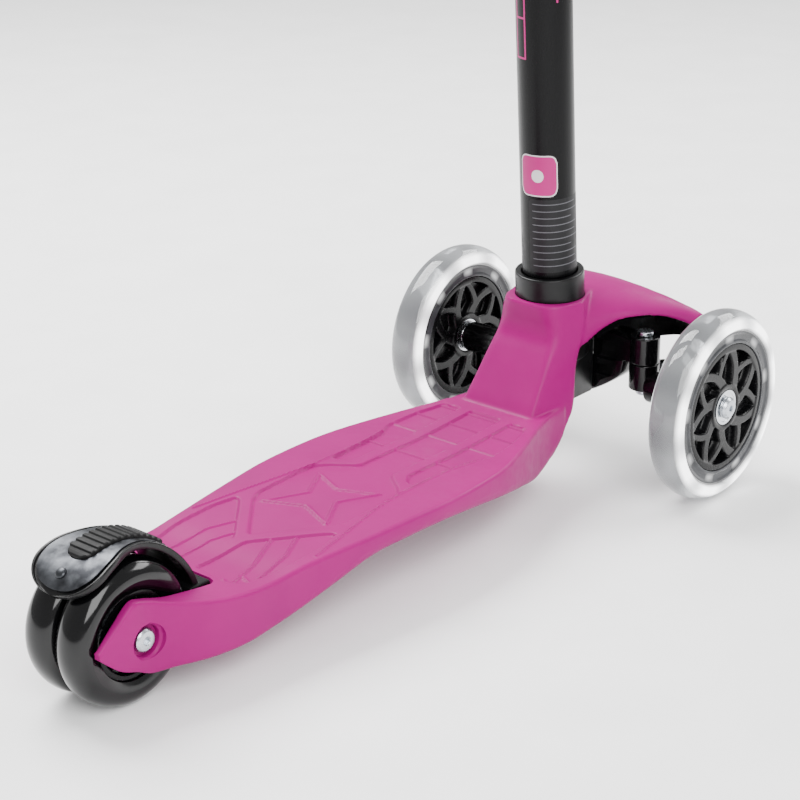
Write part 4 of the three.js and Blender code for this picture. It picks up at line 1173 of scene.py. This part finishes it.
def steering_column():
    """Socket, tubes, printed bands, clamp, tee, bar and grips about the leaning axis."""
    def column_piece(name, profile, segments=128, corner=0.5):
        """Piece turned about the column's axis."""
        return turned(name, profile, COLUMN_FOOT_POINT, COLUMN_AXIS, segments, corner)

    socket = column_piece("tube_socket", [
        (12, 86), (21.5, 86), (21.5, 135.3), (17.4, 135.3), (17.4, 89), (12, 89)], corner=1.1)
    place(socket, black_satin, "root", ["steering_socket"])
    tube = column_piece("main_tube", [(15.2, 89.4), (17, 89.4), (17, 596), (15.2, 596)], corner=0.25)
    place(tube, anodised_black, "lower_bar", ["lower_tube"])

    label = patch("label_band", 139, 186, -6, 128, TUBE_RADIUS, FOIL)
    place(label, label_dark, "lower_bar")
    ends = (118, 104, 112, 90)
    rules = [
        patch(f"rule_{i}", 143 + 4.4 * i, 143.6 + 4.4 * i, 2, ends[i % 4], TUBE_RADIUS + 0.05, FOIL, 0.15)
        for i in range(10)
    ]
    bpy.ops.object.select_all(action="DESELECT")
    for rule in rules:
        rule.select_set(True)
    bpy.context.view_layer.objects.active = rules[0]
    bpy.ops.object.join()
    rules[0].name = "label_rules"
    place(rules[0], label_grey, "lower_bar")
    badge = patch("badge_border", 188, 214, -26, 58, TUBE_RADIUS, FOIL, 5)
    place(badge, badge_white, "lower_bar")
    badge = patch("badge", 188.8, 213.2, -23.5, 55.5, TUBE_RADIUS + FOIL, FOIL, 4.5)
    place(badge, badge_pink, "lower_bar")
    spot = patch("badge_spot", 197, 205, 3, 29, TUBE_RADIUS + 2 * FOIL, FOIL, 3.8)
    place(spot, badge_white, "lower_bar")
    for i, (low_, high_, first, last) in enumerate((
            (272, 324, -34, -30), (272, 324, -8, -4), (272, 273.2, -34, -4), (296, 297.2, -34, -4),
            (322.8, 324, -34, -4), (306, 324, 62, 66), (336, 388, -34, -30), (336, 388, -8, -4),
            (336, 337.2, -34, -4), (386.8, 388, -34, -4), (336, 388, 62, 66))):
        stripe = patch(f"tube_stripe_{i}", low_, high_, first, last, TUBE_RADIUS, FOIL, 0.3)
        place(stripe, badge_pink, "lower_bar")

    collar = column_piece("clamp_ring", [
        (17.3, 566), (22.3, 566), (22.3, 599), (15.1, 599), (15.1, 596.3), (17.3, 596.3)], corner=0.8)
    cut(collar, column_block("ears", (-11, 18.8, 570), (11, 33.3, 592), 3), "UNION")
    cut(collar, column_block("split", (-1.5, 0, 560), (1.5, 60, 604), 0.2))
    bore = peg("bore", 3.3, -40, 40, CLAMP_BOLT, ACROSS, 32, 0.1)
    cut(collar, bore)
    place(collar, black_satin, "lower_bar", ["clamp_collar"], 32)
    bolt = screw(
        "clamp_screw",
        [(0, -17.5), (3, -17.5), (3, 11.3), (5.5, 11.3), (5.5, 14), (4.6, 15), (2.6, 15)],
        1.9, 1.8, CLAMP_BOLT, (-1, 0, 0),
    )
    place(bolt, zinc, "lower_bar", ["clamp_bolt"])
    place(lever(), black_satin, "clamp_lever", ["clamp_lever"], 40)

    inner = column_piece("inner_tube", [(13, 330), (14.6, 330), (14.6, 653), (13, 653)], corner=0.3)
    place(inner, silver, "upper_bar", ["upper_tube"])
    tee = column_piece("tee", [(0, 634), (17.1, 634), (18.1, 636), (18.1, 664), (0, 664)], 96, 0.8)
    across = peg("across", 14.5, -26, 26, BAR_MIDDLE, ACROSS, 96, 1.5)
    cut(tee, across, "UNION")
    bore = peg("bore", 11.3, -60, 60, BAR_MIDDLE, ACROSS, 96, 0.1)
    cut(tee, bore)
    sleeve = column_piece("sleeve", [(0, 600), (14.9, 600), (14.9, 653.3), (0, 653.3)], 96, 0.1)
    cut(tee, sleeve)
    place(tee, black_satin, "upper_bar", ["tee_joint"], 35)
    bar = turned("handlebar", [(9.2, -147), (11, -147), (11, 147), (9.2, 147)],
                 BAR_MIDDLE, ACROSS, 96, 0.3)
    place(bar, anodised_black, "upper_bar", ["crossbar"])
    for name, side in (("left", -1), ("right", 1)):
        at = np.linspace(48, 141, 260)
        swell = through([(48, 14.4), (70, 14.9), (100, 15.0), (141, 14.5)], at)[:, 0]
        ribs = 0.42 * np.maximum(np.cos((at - 48) / 3.1 * 2 * np.pi), -0.2)
        outer = np.stack([swell + ribs, at], -1)
        outline = np.concatenate([
            [(11.3, 42), (16.6, 42), (17.5, 42.8), (17.5, 44.6), (16.4, 45.4), (14.6, 46)], outer,
            [(15.2, 143), (15.5, 146), (15.1, 148.6), (13.6, 150), (0, 150), (0, 147.4), (11.3, 147.3)]])
        grip = raw_mesh(
            f"grip_piece_{name}",
            turned_points(outline, BAR_MIDDLE, (side, 0, 0), 96),
            grid_faces(len(outline), 96, wrap_rows=True, wrap_columns=True))
        place(grip, rubber, "upper_bar", [f"grip_{name}"], 50)


def lever():
    """Clamp lever: a strap swept round the clamp that thins to its end, and an eye at the bolt."""
    a = np.radians(np.linspace(54, -46, 60))
    share = np.linspace(0, 1, 60)
    tall = 8 - 2 * share
    tall = tall * np.sqrt(np.clip((1.02 - share) / 0.12, 0, 1))
    corners = np.stack([
        np.stack([np.full(60, 23.8), CLAMP_HEIGHT - tall], -1),
        np.stack([np.full(60, 28.3), CLAMP_HEIGHT - tall], -1),
        np.stack([np.full(60, 28.3), CLAMP_HEIGHT + tall], -1),
        np.stack([np.full(60, 23.8), CLAMP_HEIGHT + tall], -1)], 1)
    outline = soften(corners, np.full(4, 1.6), 6)
    r, z = outline[..., 0], outline[..., 1]
    swept = np.stack([r * np.cos(a)[:, None], r * np.sin(a)[:, None], z], -1)
    strap = loft("lever", lean_back(swept))
    eye = peg("eye", 5.5, -8, 8, LEVER_EYE, COLUMN_AXIS, 64, 0.8)
    cut(strap, eye, "UNION")
    for turn_ in range(0, 135, 15):
        direction = -np.cos(math.radians(turn_)), np.sin(math.radians(turn_))
        axis = lean_back([direction[0], direction[1], 0]) - lean_back([0, 0, 0])
        slot = peg("slot", 3.5, -1, 20, LEVER_EYE, axis, 40, 0.1)
        cut(strap, slot)
    return strap


steering_column()

# ------------------------------------------------------------------ lean and steering gear


def steering_gear():
    """Level beam, lean bolt, knuckles, kingpins, tie rod, springs and latch button."""
    back, front = 402, 420
    outline = [
        (50, 75.5), (39, 75.5), (37, 65), (30, 59), (18, 51), (0, 43), (-18, 51), (-30, 59),
        (-37, 65), (-39, 75.5), (-50, 75.5), (-50, 90), (-14, 92), (14, 92), (50, 90),
    ]
    flat = soften(outline, np.r_[1, 1.5, 3, 6, 8, 6, 8, 6, 3, 1.5, 1, 1, 4, 4, 1], 6)
    middle = np.array([0, 76.0])
    rings = []
    rounding = ((0, 1.2), (0.4, 0.4), (1.4, 0))
    stations = [(back + step, inset) for step, inset in rounding]
    stations += [(front - step, inset) for step, inset in rounding[::-1]]
    for y, inset in stations:
        shape = middle + (flat - middle) * (1 - inset / np.array([50, 17]))
        rings.append(np.stack([shape[:, 0], np.full(len(shape), y), shape[:, 1]], -1))
    beam = loft("beam", np.stack(rings))
    for side in (-1, 1):
        boss = peg("boss", 9.5, 75.5, 93, (side * KINGPIN_X, WHEELBASE, 0), UPWARD, 72, 0.9)
        cut(beam, boss, "UNION")
        low_, high_ = sorted((side * 13, side * 34))
        pocket = block("pocket", (low_, back - 3, 73), (high_, back + 3, 86), 2.5)
        cut(beam, pocket)
        low_, high_ = sorted((side * 10, side * 30))
        pocket = block("pocket", (low_, back - 3, 62), (high_, back + 2.5, 69), 2)
        cut(beam, pocket)
    place(beam, black_gloss, "front_beam", ["front_beam"], 35)
    pivot = screw(
        "pivot_bolt",
        [(0, 372), (4, 372), (4, 420.3), (7.5, 420.3), (7.5, 423.6), (6.6, 425), (3.2, 425)],
        2.4, 2.2, PIVOT, AHEAD,
    )
    place(pivot, zinc, "root", ["lean_pivot_bolt"])

    for name, side in (("left", -1), ("right", 1)):
        centre = (side * KINGPIN_X, WHEELBASE, 0)
        stub = (side * KINGPIN_X, WHEELBASE, FRONT_RADIUS)
        knuckle = peg("knuckle_piece_" + name, 9.5, 58, 75.2, centre, UPWARD, 72, 0.9)
        arm = turned("arm", [(0, 6), (10, 6), (10, 38.4), (9, 40.2), (6, 40.2), (6, 41.7), (0, 41.7)],
                     stub, (side, 0, 0), 72, 0.7)
        cut(knuckle, arm, "UNION")
        link_x = side * KINGPIN_X
        cut(knuckle, block("link", (link_x - 4, 414, 59), (link_x + 4, 435, 64), 1.2), "UNION")
        pin = peg("pin", 2, 61, 70, (side * KINGPIN_X, ROD_Y, 0), UPWARD, 40, 0.4)
        cut(knuckle, pin, "UNION")
        bore = peg("bore", 3.3, 40, 90, centre, UPWARD, 48, 0.1)
        cut(knuckle, bore)
        place(knuckle, black_gloss, f"knuckle_{name}", [f"knuckle_{name}"], 35)
        kingpin = screw(
            f"kingpin_screw_{name}",
            [(0, -96), (5, -96), (5, -93.3), (3, -93.3), (3, -57.7), (5, -57.7), (5, -55),
             (4.4, -54), (2.6, -54)],
            2.0, 1.6, centre, (0, 0, -1),
        )
        place(kingpin, zinc, "front_beam", [f"kingpin_{name}"])
    rod_path = np.stack([np.linspace(-46, 46, 40), np.full(40, ROD_Y), np.full(40, 67.0)], -1)
    rod = pipe("track_rod", rod_path, 2.1, 24)
    for side in (-1, 1):
        eye = peg("eye", 4.6, 65, 69, (side * KINGPIN_X, ROD_Y, 0), UPWARD, 48, 0.6)
        cut(rod, eye, "UNION")
        hole = peg("hole", 2.6, 60, 75, (side * KINGPIN_X, ROD_Y, 0), UPWARD, 48, 0.1)
        cut(rod, hole)
    place(rod, zinc, "tie_rod", ["tie_rod"], 35)

    turns, wire = 4, 1.1
    a = np.linspace(0, 2 * np.pi * turns, 40 * turns)
    for name, side in (("left", -1), ("right", 1)):
        x, y = side * 24 + 6 * np.cos(a), WHEELBASE + 2 + 6 * np.sin(a)
        coil = np.stack([x, y, np.linspace(96.3, 109, a.size)], -1)
        node = f"centring_spring_{name}"
        place(pipe(f"spring_{name}", coil, wire, 12), spring_steel, body_of(node), [node], 60)

    button = turned("button", [(0, 402), (4, 402), (4, 430), (7, 430), (7, 440), (6, 441), (0, 441.5)],
                    BUTTON, AHEAD, 72, 0.8)
    place(button, black_gloss, "release_button", ["release_button"])


steering_gear()

# ------------------------------------------------------------------ camera, light, floor


def look():
    """Camera turned by its azimuth and elevation, then rolled about its own axis."""
    camera = bpy.data.objects.new("camera", bpy.data.cameras.new("camera"))
    bpy.context.scene.collection.objects.link(camera)
    azimuth, elevation, roll = map(math.radians, (40.58, 21.89, -0.348))
    back = Vector((
        math.sin(azimuth) * math.cos(elevation),
        -math.cos(azimuth) * math.cos(elevation),
        math.sin(elevation),
    ))
    right = Vector((0, 0, 1)).cross(back).normalized()
    up = back.cross(right)
    level_right = right * math.cos(roll) + up * math.sin(roll)
    level_up = back.cross(level_right)
    turn = Matrix((level_right, level_up, back)).transposed()
    camera.matrix_world = Matrix.Translation((0.7310, -0.8369, 0.5430)) @ turn.to_4x4()
    camera.data.lens = 94.0
    camera.data.sensor_width = 36.0
    bpy.context.scene.camera = camera


def lamp(name, place_, target, size, power):
    """Rectangular studio lamp aimed at a point."""
    light = bpy.data.lights.new(name, "AREA")
    light.shape = "RECTANGLE"
    light.size, light.size_y = size
    light.energy = power
    holder = bpy.data.objects.new(name, light)
    bpy.context.scene.collection.objects.link(holder)
    aim = (Vector(target) - Vector(place_)).to_track_quat("-Z", "Y")
    holder.matrix_world = Matrix.Translation(place_) @ aim.to_matrix().to_4x4()


look()
lamp("key_softbox", (-1.0, 0.1, 1.5), (0, 0, 0.1), (1.2, 1.2), 76)
lamp("fill_softbox", (1.4, -0.9, 1.3), (0, 0, 0.1), (1.4, 1.4), 62)
lamp("rear_strip", (0.4, 1.5, 1.2), (0, 0.1, 0.1), (1.6, 0.6), 30)
world = bpy.context.scene.world or bpy.data.worlds.new("studio")
bpy.context.scene.world = world
world.use_nodes = True
world.node_tree.nodes["Background"].inputs["Color"].default_value = (1, 1, 1, 1)
world.node_tree.nodes["Background"].inputs["Strength"].default_value = 0.7

FLOOR_HALF = 4000
floor_corners = [(x * FLOOR_HALF, y * FLOOR_HALF, 0) for x, y in ((-1, -1), (1, -1), (1, 1), (-1, 1))]
floor = raw_mesh("floor", floor_corners, [(0, 1, 2, 3)])
floor_paint = Finish("floor_paper", "#F7F7F7", 0.7)
floor_paint.feed(
    floor_paint.blend(floor_paint.ramp(floor_paint.speckle(60, 2), 0.3, 0.7), "#F5F5F5", "#FAFAFA"),
    "Base Color",
)
floor.data.materials.append(floor_paint.material)

# ------------------------------------------------------------------ frame nodes that stay

KEPT = {
    black_satin: ["tube_plug", "upper_bush"],
    bronze: ["lean_bush", "front_axle_spacer_left", "front_axle_spacer_right"],
}
for material, names in KEPT.items():
    for name in names:
        thing = frame["nodes"][name]
        thing.data.materials.clear()
        thing.data.materials.append(material)
